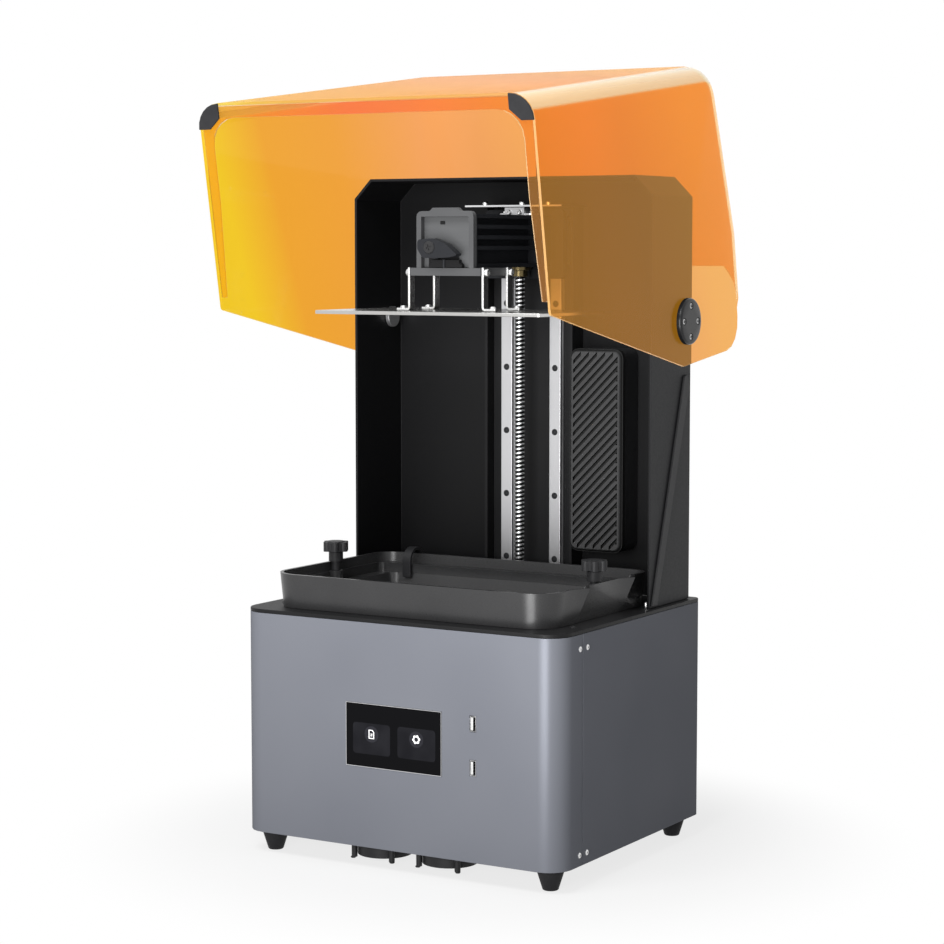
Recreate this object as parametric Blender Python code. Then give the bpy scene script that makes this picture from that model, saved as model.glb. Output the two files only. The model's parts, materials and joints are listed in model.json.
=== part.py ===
"""Desktop resin printer with a flip-up hood, piece by piece. Metres, +Z up, front towards -Y.

Every shape is written in one base frame: X = 0 and Y = 0 at the middle of the base, Z = 0 on the table,
with the hood closed. The hood's empty then turns it open.
"""
import math

import bmesh
import bpy
from mathutils import Matrix, Vector

# Clearances
SEAT_GAP = 0.0003        # between pieces that are fastened to each other
RUN_GAP = 0.0004         # between pieces that move on each other
SEAM_GAP = 0.0006        # open seam between the two base covers
OVERCUT = 0.001          # how far a cutting shape runs past the face that it cuts

# Frame: moves the base so that the whole part, hood open, stands centred on the origin
ORIGIN_SHIFT_Y = -0.0199

# Base
BASE_WIDTH = 0.333
BASE_DEPTH = 0.275
BODY_HEIGHT = 0.203
COVER_WALL = 0.002
FRONT_CORNER_RADIUS = 0.022
REAR_CORNER_RADIUS = 0.008
SEAM_FROM_FRONT = 0.0415
DECK_THICKNESS = 0.0032
BOTTOM_THICKNESS = 0.003

# Feet
FOOT_HEIGHT = 0.020
FOOT_TOP_RADIUS = 0.0126
FOOT_TOE_RADIUS = 0.0071
FOOT_SIDE_INSET = 0.021
FOOT_FRONT_INSET = 0.023
FOOT_REAR_INSET = 0.016
FOOT_RIM = 0.0015
FOOT_CHAMFER = 0.0008

# Display and sockets in the front cover
DISPLAY_WIDTH = 0.0997
DISPLAY_HEIGHT = 0.057
DISPLAY_X = -0.0012
DISPLAY_ABOVE_BODY_BOTTOM = 0.1017
DISPLAY_LEDGE = 0.003
DISPLAY_DEPTH = 0.006
SOCKET_FROM_SIDE = 0.0859  # to the middle of the sockets
SOCKET_WIDTH = 0.0061
SOCKET_HEIGHT = 0.0139
SOCKET_WALL = 0.0005
SOCKET_DEPTH = 0.014
SOCKET_FLANGE = 0.0022
SOCKETS_ABOVE_BODY_BOTTOM = (0.08375, 0.12275)

# Power inlet at the back
INLET_FROM_SIDE = 0.0715   # to the middle of the inlet
INLET_ABOVE_BODY_BOTTOM = 0.046
INLET_BODY_WIDTH = 0.027
INLET_BODY_HEIGHT = 0.046
INLET_BODY_DEPTH = 0.026
INLET_FLANGE = 0.003
INLET_FLANGE_THICKNESS = 0.0025
INLET_FLANGE_CORNER = 0.003
PLUG_WIDTH = 0.024
PLUG_HEIGHT = 0.0165
PLUG_DEPTH = 0.016
PLUG_BELOW_MIDDLE = 0.012
ROCKER_WIDTH = 0.0120
ROCKER_HEIGHT = 0.0170
ROCKER_ABOVE_MIDDLE = 0.011
ROCKER_DEPTH = 0.004     # in front of its axle
ROCKER_PROUD = 0.0045    # behind its axle, at both ends
ROCKER_DIP = 0.0019      # at its middle
ROCKER_EDGE = 0.0008
ROCKER_TAPER = 0.001
ROCKER_TILT = 7.0        # degrees either side of level
ROCKER_CLEARANCE = 0.0008

# Vent slots in the rear cover
VENT_COUNT = 12
VENT_PITCH = 0.007
VENT_WIDTH = 0.003
VENT_HEIGHT = 0.032
VENT_FROM_SIDE = 0.0515    # to the middle of the first slot
VENT_ABOVE_BODY_BOTTOM = 0.055

# Fans under the front of the base
FAN_SIZE = 0.050
FAN_SPREAD = 0.069       # distance between the two fan centres
FAN_FROM_FRONT = 0.0375
FAN_BARREL_HEIGHT = 0.0125
FAN_BARREL_WALL = 0.002
FAN_FLANGE_THICKNESS = 0.0025
FAN_POST_SPACING = 0.040
FAN_POST_RADIUS = 0.0027
FAN_POST_DROP = 0.0145
FAN_CORNER = 0.004
FAN_SPOKES = 3
FAN_SPOKE_WIDTH = 0.0024
FAN_SPOKE_RELIEF = 0.0001  # spokes are thinner than their hub by this much a side
FAN_HUB_RADIUS = 0.009
FAN_SPIDER_THICKNESS = 0.0015
FAN_BLADES = 7
FAN_BLADE_CHORD = 0.010
FAN_BLADE_THICKNESS = 0.0012
FAN_BLADE_ROOT = 0.0015  # into the hub
FAN_BLADE_PITCH = 32.0   # degrees
FAN_TIP_CLEARANCE = 0.0012

# Light engine and electronics inside the base
SCREEN_SIDE_INSET = 0.006   # inside the tank's width
SCREEN_DEPTH = 0.140
SCREEN_Y = -0.019
LIGHT_DEPTH = 0.130
LIGHT_FOOT_WIDTH = 0.120
LIGHT_FOOT_DEPTH = 0.080
LIGHT_WALL = 0.003
LIGHT_LEDGE = 0.008
BOARD_SIZE = (0.095, 0.070, 0.0016)
BOARD_FROM_SIDE = 0.0715   # to the middle of the board
BOARD_FROM_REAR = 0.0525
STANDOFF_HEIGHT = 0.008
STANDOFF_RADIUS = 0.003
STANDOFF_INSET = 0.005
SUPPLY_SIZE = (0.090, 0.050, 0.034)
SUPPLY_FROM_SIDE = 0.0765  # to the middle of the supply
SUPPLY_FROM_REAR = 0.0625

# Tower
TOWER_WIDTH = 0.320
TOWER_FRONT_Y = 0.043
TOWER_REAR_Y = 0.124
TOWER_TOP_Z = 0.6195
TOWER_WALL = 0.0025
TOWER_CHAMFER_X = 0.018
TOWER_CHAMFER_Z = 0.0185

# Z drive
SCREW_Y = 0.084
SCREW_RADIUS = 0.005
SCREW_TOP_Z = 0.588
SCREW_BELOW_CAP = 0.0042
COUPLER_RADIUS = 0.0075
COUPLER_LENGTH = 0.025
COUPLER_LIFT = 0.003     # above the deck
MOTOR_WIDTH = 0.0423
MOTOR_HEIGHT = 0.040
MOTOR_CHAMFER = 0.005
SHAFT_RADIUS = 0.0025
COLUMN_WIDTH = 0.096
COLUMN_WALL = 0.003
COLUMN_FRONT_Y = 0.100
COLUMN_CAP_WIDTH = 0.104
COLUMN_CAP_FRONT_Y = 0.070
COLUMN_CAP_THICKNESS = 0.002
RAIL_SPACING = 0.053
RAIL_WIDTH = 0.012
RAIL_HEIGHT = 0.008
RAIL_GROOVE = 0.0012
RAIL_LAND = 0.002        # from its front to the groove
RAIL_GROOVE_WIDTH = 0.004
RAIL_LIFT = 0.004        # above the deck
RAIL_FRONT_Y = 0.105
BEARING_WIDTH = 0.021
BEARING_HEIGHT = 0.0135
BEARING_CLEARANCE = 0.0015

# Air filter beside the rails
FILTER_LEFT_X = 0.051
FILTER_WIDTH = 0.056
FILTER_BOTTOM_Z = 0.269
FILTER_HEIGHT = 0.191
FILTER_FRONT_Y = 0.088
FILTER_COVER_DEPTH = 0.008
FILTER_CORNER = 0.009
FILTER_CROWN = 0.003
FILTER_MARGIN = 0.0045
FILTER_GROOVE_PITCH = 0.006
FILTER_GROOVE_WIDTH = 0.0028
FILTER_GROOVE_DEPTH = 0.0035
FILTER_HOOK_WIDTH = 0.0016
FILTER_HOOK_DROP = 0.0024  # down from a groove's right end

# Build plate, its mount and the arm
PLATE_DEPTH = 0.1356
PLATE_Y = -0.0191
PLATE_THICKNESS = 0.0032
PLATE_CORNER = 0.004
PLATE_TOP_Z = 0.4974     # raised to the top of its travel
MOUNT_CLEAR = 0.0316     # space between the plate and the mount's foot
MOUNT_FOOT_WIDTH = 0.075
MOUNT_FOOT_FRONT_Y = -0.052
MOUNT_FOOT_REAR_Y = 0.002
MOUNT_FOOT_THICKNESS = 0.007
PORTAL_WIDTH = 0.060
PORTAL_HEIGHT = 0.058
PORTAL_DEPTH = 0.006
PORTAL_FRAME = 0.005
PORTAL_HUMP_WIDTH = 0.032
PORTAL_HUMP_HEIGHT = 0.003
PORTAL_CORNER = 0.005
PORTAL_STEP = 0.0002     # behind the foot's front
ARM_WIDTH = 0.057
ARM_HEIGHT = 0.048
ARM_RIBS = 4
ARM_RIB = 0.0035
ARM_RIB_GAP = 0.006
ARM_POCKET_DEPTH = 0.009
ARM_POCKET_REAR_Y = 0.066
ARM_BORE_CLEARANCE = 0.0015  # round the lead screw
SADDLE_WIDTH = 0.084
SADDLE_THICKNESS = 0.0085
SADDLE_HEIGHT = 0.065
SADDLE_CORNER = 0.004
SADDLE_DROP = 0.0113     # how far the saddle reaches below the arm
SLIDER_WIDTH = 0.027
SLIDER_LENGTH = 0.045
SLIDER_FRONT_WALL = 0.0043
SLIDER_LEG = 0.0058
NUT_RADIUS = 0.0075
NUT_FLANGE_RADIUS = 0.011
NUT_HEIGHT = 0.010
NUT_FLANGE_HEIGHT = 0.004
NUT_RECESS = 0.001       # into the arm
BRACKET_SHEET = 0.002
BRACKET_WIDTH = 0.009
BRACKET_FOOT = 0.0142
BRACKET_RISE = 0.0388
BRACKET_BEND = 0.003
BRACKET_EDGE = 0.001     # from the mount foot's front and rear ends to the brackets

# Clamp lever and shoe
LEVER_X = -0.0102
LEVER_ABOVE_FOOT = 0.0255
LEVER_THICKNESS = 0.0095
LEVER_CLEARANCE = 0.0007
LEVER_PROFILE = (        # corners round its axle: across, up and radius
    (-0.0125, -0.0015, 0.003), (-0.0125, 0.0070, 0.003), (0.0040, 0.0080, 0.005), (0.0170, 0.0030, 0.004),
    (0.0300, -0.0070, 0.0012), (0.0200, -0.0090, 0.003), (0.0080, -0.0095, 0.004), (-0.0070, -0.0095, 0.004))
LEVER_PIN_RADIUS = 0.004
LEVER_PIN_DEPTH = 0.005
CAM_RADIUS = 0.0085
CAM_OFFSET = 0.002
SHOE_WIDTH = 0.035
SHOE_STEP = 0.003
SHOE_BEVEL = 0.002
SHOE_CLEARANCE = 0.0005

# Vat
VAT_SIDE_CLEARANCE = 0.0105   # to the tower walls that it stands between
VAT_DEPTH = 0.196
VAT_Y = -0.024
VAT_HEIGHT = 0.0312
VAT_WALL = 0.003
VAT_DRAFT = 0.003
VAT_FRONT_RADIUS = 0.028
VAT_REAR_RADIUS = 0.020
VAT_FLOOR = 0.0132
VAT_SHELF_DEPTH = 0.011
VAT_SHELF_HEIGHT = 0.0222
TANK_CLEARANCE = 0.005   # round the build plate
TANK_SIDE_LEDGE = 0.023  # from the vat's side to the tank
TANK_SLOPE = 0.004
VAT_SHELF_CORNER = 0.006
TANK_CORNER = 0.006
LIP_REACH = 0.009
LIP_WIDTH = 0.030
LIP_HEIGHT = 0.027
LIP_WALL = 0.0022
LIPS_Y = (-0.064, 0.022)
FILM_FRAME_WIDTH = 0.009
FILM_FRAME_THICKNESS = 0.003
FILM_FRAME_CORNER = 0.008
FILM_THICKNESS = 0.0003

# Vat thumbscrews
KNOB_FROM_VAT_SIDE = 0.0085
KNOB_Y = -0.0236
KNOB_HEAD_RADIUS = 0.0126
KNOB_CORE_RADIUS = 0.0100
KNOB_LOBE_RADIUS = 0.0036
KNOB_LOBES = 6
KNOB_HEAD_HEIGHT = 0.009
KNOB_CROWN = 0.0006
KNOB_EDGE = 0.002
KNOB_COLLAR_RADIUS = 0.0068
KNOB_COLLAR_HEIGHT = 0.0095
KNOB_COLLAR_ABOVE_VAT = 0.0008
KNOB_NECK_RADIUS = 0.0042
KNOB_STEM_RADIUS = 0.0033
KNOB_BOSS_RADIUS = 0.0065
KNOB_BOSS_HEIGHT = 0.0232

# Feed hook over the vat's rear wall
HOOK_X = -0.108
HOOK_WIDTH = 0.009
HOOK_SHEET = 0.003
HOOK_TOP = 0.0385        # above the deck
HOOK_TIP = 0.0100        # above the deck
HOOK_BEND = 0.0132
HOOK_BEHIND_VAT = 0.006
HOOK_CLEARANCE = 0.0015  # to the vat's shelf

# Hood, written closed
HINGE_Y = 0.103
HINGE_Z = 0.4867
HOOD_OPEN_ANGLE = 80.3   # degrees
HOOD_WALL = 0.0025
HOOD_SIDE_GAP = 0.0008   # between the tower's top corners and the hood's side walls
HOOD_DRAFT = 0.0165      # how far each side wall leans out towards the rim, per metre
HOOD_EDGE_RADIUS = 0.022
HOOD_BROW_RADIUS = 0.035
HOOD_FRONT_LEAN = 0.0163
HOOD_BROW_Z = 0.592
HOOD_TOWER_GAP = 0.0015  # between the tower's top and the hood's top panel
HOOD_SHOULDER_LEAD = 0.003  # from the top panel's bend to the tower's front
HOOD_SHOULDER_RADIUS = 0.100
HOOD_TOP_OVERLAP = 0.0324  # of the top panel over the tower
HOOD_HORN_LENGTH = 0.0366   # of the rounded edge behind the top panel, which runs out into the side wall
HOOD_STEPS = 5           # facets in each rounded edge
HOOD_REAR_Y = 0.150
HOOD_REAR_RADIUS = 0.028
HOOD_HEEL_CORNER = (0.1433, 0.4762, 0.008)
HOOD_TOE_CORNER_Y = 0.047
HOOD_TOE_RADIUS = 0.004
RIM_FLANGE_FRONT = 0.0104
RIM_FLANGE_SIDE = 0.0091
RIM_FLANGE_END = 0.005
RIM_FLANGE_THICKNESS = 0.0025
RIM_FLANGE_INNER_RADIUS = 0.025
RIM_FLANGE_TAPER_Y = -0.050
RIM_FLANGE_REAR_Y = 0.036
BUMPER_LEG = 0.0225
BUMPER_THICKNESS = 0.0022
HINGE_DISC_RADIUS = 0.0215
HINGE_DISC_THICKNESS = 0.005
HINGE_DISC_ROUND = 0.003
HINGE_DISC_EDGE = 0.001
HINGE_PIN_RADIUS = 0.006
HINGE_PIN_HEAD_RADIUS = 0.010
HINGE_PIN_HEAD = 0.004
HINGE_PIN_REACH = 0.0032  # into the disc

# Slanted rib outside each tower wall
RIB_FOOT_Y = 0.0447
RIB_HEAD_Y = 0.1083
RIB_WIDTH = 0.010
RIB_HEAD_Z = 0.4374
RIB_HEAD_FRONT = 0.002   # how far the head's front corner lies below its top
RIB_HEAD_REAR = 0.012
RIB_LIFT = 0.002         # above the deck

# Levels and places that follow from the sizes above
BODY_TOP = FOOT_HEIGHT + BODY_HEIGHT
DECK_BOTTOM = BODY_TOP + SEAT_GAP
DECK_TOP = DECK_BOTTOM + DECK_THICKNESS
ON_DECK = DECK_TOP + SEAT_GAP
UNDER_DECK = DECK_BOTTOM - SEAT_GAP
ON_BOTTOM = FOOT_HEIGHT + BOTTOM_THICKNESS + SEAT_GAP
UNDER_BOTTOM = FOOT_HEIGHT - SEAT_GAP
BASE_FRONT = -BASE_DEPTH / 2
BASE_REAR = BASE_DEPTH / 2
SEAM_Y = BASE_FRONT + SEAM_FROM_FRONT
TOWER_BACK_INSIDE = TOWER_REAR_Y - TOWER_WALL
ON_TOWER_BACK = TOWER_BACK_INSIDE - SEAT_GAP
COLUMN_WEB_FRONT = RAIL_FRONT_Y + RAIL_HEIGHT + SEAT_GAP
CAP_BOTTOM = SCREW_TOP_Z + SCREW_BELOW_CAP
BEARING_TOP = CAP_BOTTOM - SEAT_GAP
BEARING_BOTTOM = BEARING_TOP - BEARING_HEIGHT
MOUNT_FOOT_Z = PLATE_TOP_Z + MOUNT_CLEAR
MOUNT_FOOT_TOP = MOUNT_FOOT_Z + MOUNT_FOOT_THICKNESS
ARM_BOTTOM = MOUNT_FOOT_TOP + SEAT_GAP
ARM_FRONT_Y = MOUNT_FOOT_FRONT_Y + PORTAL_DEPTH + SEAT_GAP
SLIDER_FRONT_Y = RAIL_FRONT_Y - RUN_GAP - SLIDER_FRONT_WALL
SADDLE_REAR_Y = SLIDER_FRONT_Y - SEAT_GAP
SADDLE_BOTTOM = ARM_BOTTOM - SADDLE_DROP
VAT_TOP = ON_DECK + VAT_HEIGHT
VAT_FRONT = VAT_Y - VAT_DEPTH / 2
VAT_REAR = VAT_Y + VAT_DEPTH / 2
VAT_WIDTH = TOWER_WIDTH - 2 * (TOWER_WALL + VAT_SIDE_CLEARANCE)
TANK_WIDTH = VAT_WIDTH - 2 * TANK_SIDE_LEDGE
PLATE_WIDTH = TANK_WIDTH - 2 * TANK_CLEARANCE
SCREEN_WIDTH = TANK_WIDTH - 2 * SCREEN_SIDE_INSET
KNOB_X = VAT_WIDTH / 2 - KNOB_FROM_VAT_SIDE
TANK_DEPTH = PLATE_DEPTH + 2 * TANK_CLEARANCE
BUMPER_Z = DECK_TOP + RUN_GAP
RIM_Z = BUMPER_Z + BUMPER_THICKNESS + SEAT_GAP
HOOD_FRONT = BASE_FRONT
HOOD_SHOULDER_Y = TOWER_FRONT_Y - HOOD_SHOULDER_LEAD
HOOD_SHOULDER_Z = TOWER_TOP_Z + HOOD_TOWER_GAP + HOOD_WALL
HOOD_TOP_REAR_Y = TOWER_FRONT_Y + HOOD_TOP_OVERLAP
HOOD_HORN_Y = HOOD_TOP_REAR_Y + HOOD_HORN_LENGTH
HOOD_SIDE_TOP_Z = HOOD_SHOULDER_Z - HOOD_EDGE_RADIUS

# Finishes: colour, roughness and metallic value
FINISHES = {
    "grey_paint": ((0.205, 0.210, 0.245), 0.42, 0.7),
    "black_paint": ((0.018, 0.018, 0.019), 0.45, 0.3),
    "black_plastic": ((0.022, 0.022, 0.024), 0.5, 0.0),
    "dark_casting": ((0.060, 0.062, 0.066), 0.45, 0.5),
    "vat_black": ((0.040, 0.040, 0.041), 0.35, 0.3),
    "bright_steel": ((0.62, 0.62, 0.63), 0.25, 1.0),
    "silver_sheet": ((0.75, 0.75, 0.76), 0.3, 1.0),
    "screen_glass": ((0.008, 0.008, 0.010), 0.08, 0.0),
    "orange_acrylic": ((0.90, 0.28, 0.03), 0.05, 0.0),
    "rubber": ((0.030, 0.030, 0.031), 0.7, 0.0),
    "circuit_board": ((0.010, 0.090, 0.040), 0.5, 0.0),
    "clear_film": ((0.70, 0.72, 0.74), 0.1, 0.0),
}


# Shapes

def place(axis, u, v, along):
    """Turn outline coordinates and a distance along an axis into a point."""
    return {"X": (along, u, v), "Y": (u, along, v), "Z": (u, v, along)}[axis]


def filleted(corners, steps=5):
    """Outline through (u, v, radius) corners, each rounded by an arc of its radius."""
    outline = []
    for index, (u, v, radius) in enumerate(corners):
        here = Vector((u, v))
        if radius <= 0:
            outline.append((u, v))
            continue
        back = (Vector(corners[index - 1][:2]) - here).normalized()
        ahead = (Vector(corners[(index + 1) % len(corners)][:2]) - here).normalized()
        half = back.angle(ahead) / 2
        centre = here + (back + ahead).normalized() * (radius / math.sin(half))
        start = here + back * (radius / math.tan(half)) - centre
        end = here + ahead * (radius / math.tan(half)) - centre
        first = math.atan2(start.y, start.x)
        sweep = (math.atan2(end.y, end.x) - first + math.pi) % math.tau - math.pi
        for step in range(steps + 1):
            angle = first + sweep * step / steps
            outline.append((centre.x + radius * math.cos(angle), centre.y + radius * math.sin(angle)))
    return outline


def rectangle(low, high, radius=0.0, steps=5):
    """Rectangle from its low corner to its high corner, with one corner radius."""
    (u0, v0), (u1, v1) = low, high
    return filleted([(u0, v0, radius), (u1, v0, radius), (u1, v1, radius), (u0, v1, radius)], steps)


def centred(middle, width, height, radius=0.0, steps=5):
    """Rectangle of a width and height round its middle."""
    u, v = middle
    return rectangle((u - width / 2, v - height / 2), (u + width / 2, v + height / 2), radius, steps)


def circle(middle, radius, segments=24):
    """Round outline."""
    turns = [math.tau * step / segments for step in range(segments)]
    return [(middle[0] + radius * math.cos(turn), middle[1] + radius * math.sin(turn)) for turn in turns]


def loft(first, last, axis, low, high):
    """Closed body between two outlines with the same number of points."""
    shape = bmesh.new()
    lower = [shape.verts.new(place(axis, u, v, low)) for u, v in first]
    upper = [shape.verts.new(place(axis, u, v, high)) for u, v in last]
    shape.faces.new(lower)
    shape.faces.new(upper)
    count = len(lower)
    for index in range(count):
        ahead = (index + 1) % count
        shape.faces.new((lower[index], lower[ahead], upper[ahead], upper[index]))
    bmesh.ops.recalc_face_normals(shape, faces=shape.faces)
    return shape


def prism(outline, axis, low, high):
    """Outline drawn out along an axis."""
    return loft(outline, outline, axis, low, high)


def box(low, high):
    """Block from its low corner to its high corner."""
    return prism(rectangle(low[:2], high[:2]), "Z", low[2], high[2])


def turned(profile, axis, centre, segments=24, ring=False):
    """Body of revolution about an axis, from (radius, distance along the axis) points."""
    shape = bmesh.new()
    points = [shape.verts.new(place(axis, radius, 0.0, along)) for radius, along in profile]
    pairs = list(zip(points, points[1:]))
    if ring:
        pairs.append((points[-1], points[0]))
    edges = [shape.edges.new(pair) for pair in pairs]
    direction = place(axis, 0.0, 0.0, 1.0)
    bmesh.ops.spin(shape, geom=points + edges, cent=(0, 0, 0), axis=direction,
                   angle=math.tau, steps=segments, use_merge=True)
    bmesh.ops.remove_doubles(shape, verts=shape.verts, dist=1e-7)
    bmesh.ops.translate(shape, verts=shape.verts, vec=place(axis, centre[0], centre[1], 0.0))
    bmesh.ops.recalc_face_normals(shape, faces=shape.faces)
    return shape


def cylinder(axis, centre, radius, low, high, segments=24):
    """Plain round bar along an axis."""
    return prism(circle(centre, radius, segments), axis, low, high)


def together(shapes):
    """Several shapes in one mesh, for one cut or one union."""
    whole = bmesh.new()
    for shape in shapes:
        mesh = bpy.data.meshes.new("step")
        shape.to_mesh(mesh)
        shape.free()
        whole.from_mesh(mesh)
        bpy.data.meshes.remove(mesh)
    return whole


def turn(shape, angle, axis, centre):
    """Turn a shape by degrees about an axis through a point."""
    bmesh.ops.rotate(shape, verts=shape.verts, cent=centre,
                     matrix=Matrix.Rotation(math.radians(angle), 3, axis))
    return shape


# Objects

def finish_named(name):
    """Material of a named finish, made once."""
    if name in bpy.data.materials:
        return bpy.data.materials[name]
    colour, roughness, metallic = FINISHES[name]
    material = bpy.data.materials.new(name)
    material.use_nodes = True
    shader = material.node_tree.nodes["Principled BSDF"]
    shader.inputs["Base Color"].default_value = (*colour, 1.0)
    shader.inputs["Roughness"].default_value = roughness
    shader.inputs["Metallic"].default_value = metallic
    return material


def pivot(name, spot, parent=None):
    """Empty at a spot of the base frame, which carries the pieces that move together."""
    empty = bpy.data.objects.new(name, None)
    bpy.context.scene.collection.objects.link(empty)
    empty["spot"] = spot
    empty.parent = parent
    empty.location = Vector(spot) - Vector(parent["spot"]) if parent else Vector((0, ORIGIN_SHIFT_Y, 0))
    return empty


def make(name, shape, finish, parent, origin=None):
    """Object from a shape of the base frame, with its origin at a spot, or at its parent's."""
    spot = Vector(origin if origin else parent["spot"])
    bmesh.ops.translate(shape, verts=shape.verts, vec=-spot)
    mesh = bpy.data.meshes.new(name)
    shape.to_mesh(mesh)
    shape.free()
    mesh.shade_smooth()
    mesh.set_sharp_from_angle(angle=math.radians(35))
    mesh.materials.append(finish_named(finish))
    piece = bpy.data.objects.new(name, mesh)
    bpy.context.scene.collection.objects.link(piece)
    piece["spot"] = spot
    piece.parent = parent
    piece.location = spot - Vector(parent["spot"])
    return piece


def combine(piece, shape, operation):
    """Boolean step on a piece, with its shape kept as a wire guide."""
    guide_name = f"{piece.name}_step{len(piece.modifiers) + 1}"
    guide = make(guide_name, shape, piece.data.materials[0].name, piece)
    guide.hide_render = True
    guide.display_type = "WIRE"
    step = piece.modifiers.new(guide_name, "BOOLEAN")
    step.operation = operation
    step.object = guide


def cut(piece, *shapes):
    """Take shapes out of a piece."""
    combine(piece, together(shapes), "DIFFERENCE")


def fuse(piece, shape):
    """Join a shape to a piece."""
    combine(piece, shape, "UNION")


# Base

def base_outline(inset):
    """Plan of the base, drawn in by an inset."""
    half = BASE_WIDTH / 2 - inset
    front = BASE_FRONT + inset
    rear = BASE_REAR - inset
    front_radius = FRONT_CORNER_RADIUS - inset
    rear_radius = REAR_CORNER_RADIUS - inset
    return filleted([(-half, front, front_radius), (half, front, front_radius),
                     (half, rear, rear_radius), (-half, rear, rear_radius)])


def wrapped_sheet(seam, far, radius):
    """Plan of a sheet bent round one end of the base, from seam to seam."""
    half = BASE_WIDTH / 2
    inner = half - COVER_WALL
    deep = far - math.copysign(COVER_WALL, far)
    tight = radius - COVER_WALL
    return filleted([(-half, seam, 0), (-half, far, radius), (half, far, radius), (half, seam, 0),
                     (inner, seam, 0), (inner, deep, tight), (-inner, deep, tight), (-inner, seam, 0)])


def display_middle():
    """Middle of the display, as X and Z."""
    return (DISPLAY_X, FOOT_HEIGHT + DISPLAY_ABOVE_BODY_BOTTOM)


def socket_middles():
    """Middles of the sockets, as X and Z."""
    x = BASE_WIDTH / 2 - SOCKET_FROM_SIDE
    return [(x, FOOT_HEIGHT + height) for height in SOCKETS_ABOVE_BODY_BOTTOM]


def inlet_middle():
    """Middle of the power inlet, as X and Z."""
    return (BASE_WIDTH / 2 - INLET_FROM_SIDE, FOOT_HEIGHT + INLET_ABOVE_BODY_BOTTOM)


def build_covers(printer):
    """Front and rear covers, with the openings for what sits in them."""
    sheet = prism(wrapped_sheet(SEAM_Y, BASE_FRONT, FRONT_CORNER_RADIUS), "Z", FOOT_HEIGHT, BODY_TOP)
    front = make("front_cover", sheet, "grey_paint", printer)
    near = BASE_FRONT - OVERCUT
    far = BASE_FRONT + COVER_WALL + OVERCUT
    play = 2 * SEAT_GAP
    window = centred(display_middle(), DISPLAY_WIDTH + play, DISPLAY_HEIGHT + play)
    slots = [prism(centred(middle, SOCKET_WIDTH + play, SOCKET_HEIGHT + play), "Y", near, far)
             for middle in socket_middles()]
    cut(front, prism(window, "Y", near, far), *slots)

    sheet = prism(wrapped_sheet(SEAM_Y + SEAM_GAP, BASE_REAR, REAR_CORNER_RADIUS), "Z", FOOT_HEIGHT, BODY_TOP)
    rear = make("rear_cover", sheet, "grey_paint", printer)
    near = BASE_REAR - COVER_WALL - OVERCUT
    far = BASE_REAR + OVERCUT
    hole = centred(inlet_middle(), INLET_BODY_WIDTH + play, INLET_BODY_HEIGHT + play)
    level = FOOT_HEIGHT + VENT_ABOVE_BODY_BOTTOM
    first = -BASE_WIDTH / 2 + VENT_FROM_SIDE
    vents = [prism(centred((first + VENT_PITCH * index, level), VENT_WIDTH, VENT_HEIGHT), "Y", near, far)
             for index in range(VENT_COUNT)]
    cut(rear, prism(hole, "Y", near, far), *vents)


def fan_centres():
    """Left and right fan centres, as X and Y."""
    y = BASE_FRONT + FAN_FROM_FRONT
    return [(-FAN_SPREAD / 2, y), (FAN_SPREAD / 2, y)]


def build_plates(printer):
    """Bottom plate inside the covers and the deck on top of them."""
    plan = base_outline(COVER_WALL + SEAT_GAP)
    bottom = make("bottom_plate", prism(plan, "Z", FOOT_HEIGHT, FOOT_HEIGHT + BOTTOM_THICKNESS),
                  "black_paint", printer)
    bore = FAN_SIZE / 2 - FAN_BARREL_WALL
    cut(bottom, *[cylinder("Z", centre, bore, FOOT_HEIGHT - OVERCUT,
                           FOOT_HEIGHT + BOTTOM_THICKNESS + OVERCUT) for centre in fan_centres()])

    deck = make("deck_plate", prism(base_outline(0), "Z", DECK_BOTTOM, DECK_TOP), "black_paint", printer)
    low = DECK_BOTTOM - OVERCUT
    high = DECK_TOP + OVERCUT
    play = 2 * SEAT_GAP
    window = centred((0, SCREEN_Y), SCREEN_WIDTH + play, SCREEN_DEPTH + play)
    holes = [cylinder("Z", (side * KNOB_X, KNOB_Y), KNOB_STEM_RADIUS + RUN_GAP, low, high, 16)
             for side in (-1, 1)]
    shaft = cylinder("Z", (0, SCREW_Y), COUPLER_RADIUS + RUN_GAP, low, high)
    cut(deck, prism(window, "Z", low, high), shaft, *holes)


def build_feet(printer):
    """Four tapered feet under the bottom plate."""
    profile = [(0, UNDER_BOTTOM), (FOOT_TOP_RADIUS, UNDER_BOTTOM),
               (FOOT_TOP_RADIUS, UNDER_BOTTOM - FOOT_RIM), (FOOT_TOE_RADIUS, FOOT_CHAMFER),
               (FOOT_TOE_RADIUS - FOOT_CHAMFER, 0), (0, 0)]
    side = BASE_WIDTH / 2 - FOOT_SIDE_INSET
    rows = {"front": BASE_FRONT + FOOT_FRONT_INSET, "rear": BASE_REAR - FOOT_REAR_INSET}
    for row, y in rows.items():
        for hand, x in (("left", -side), ("right", side)):
            make(f"foot_{row}_{hand}", turned(profile, "Z", (x, y)), "rubber", printer)


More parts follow.
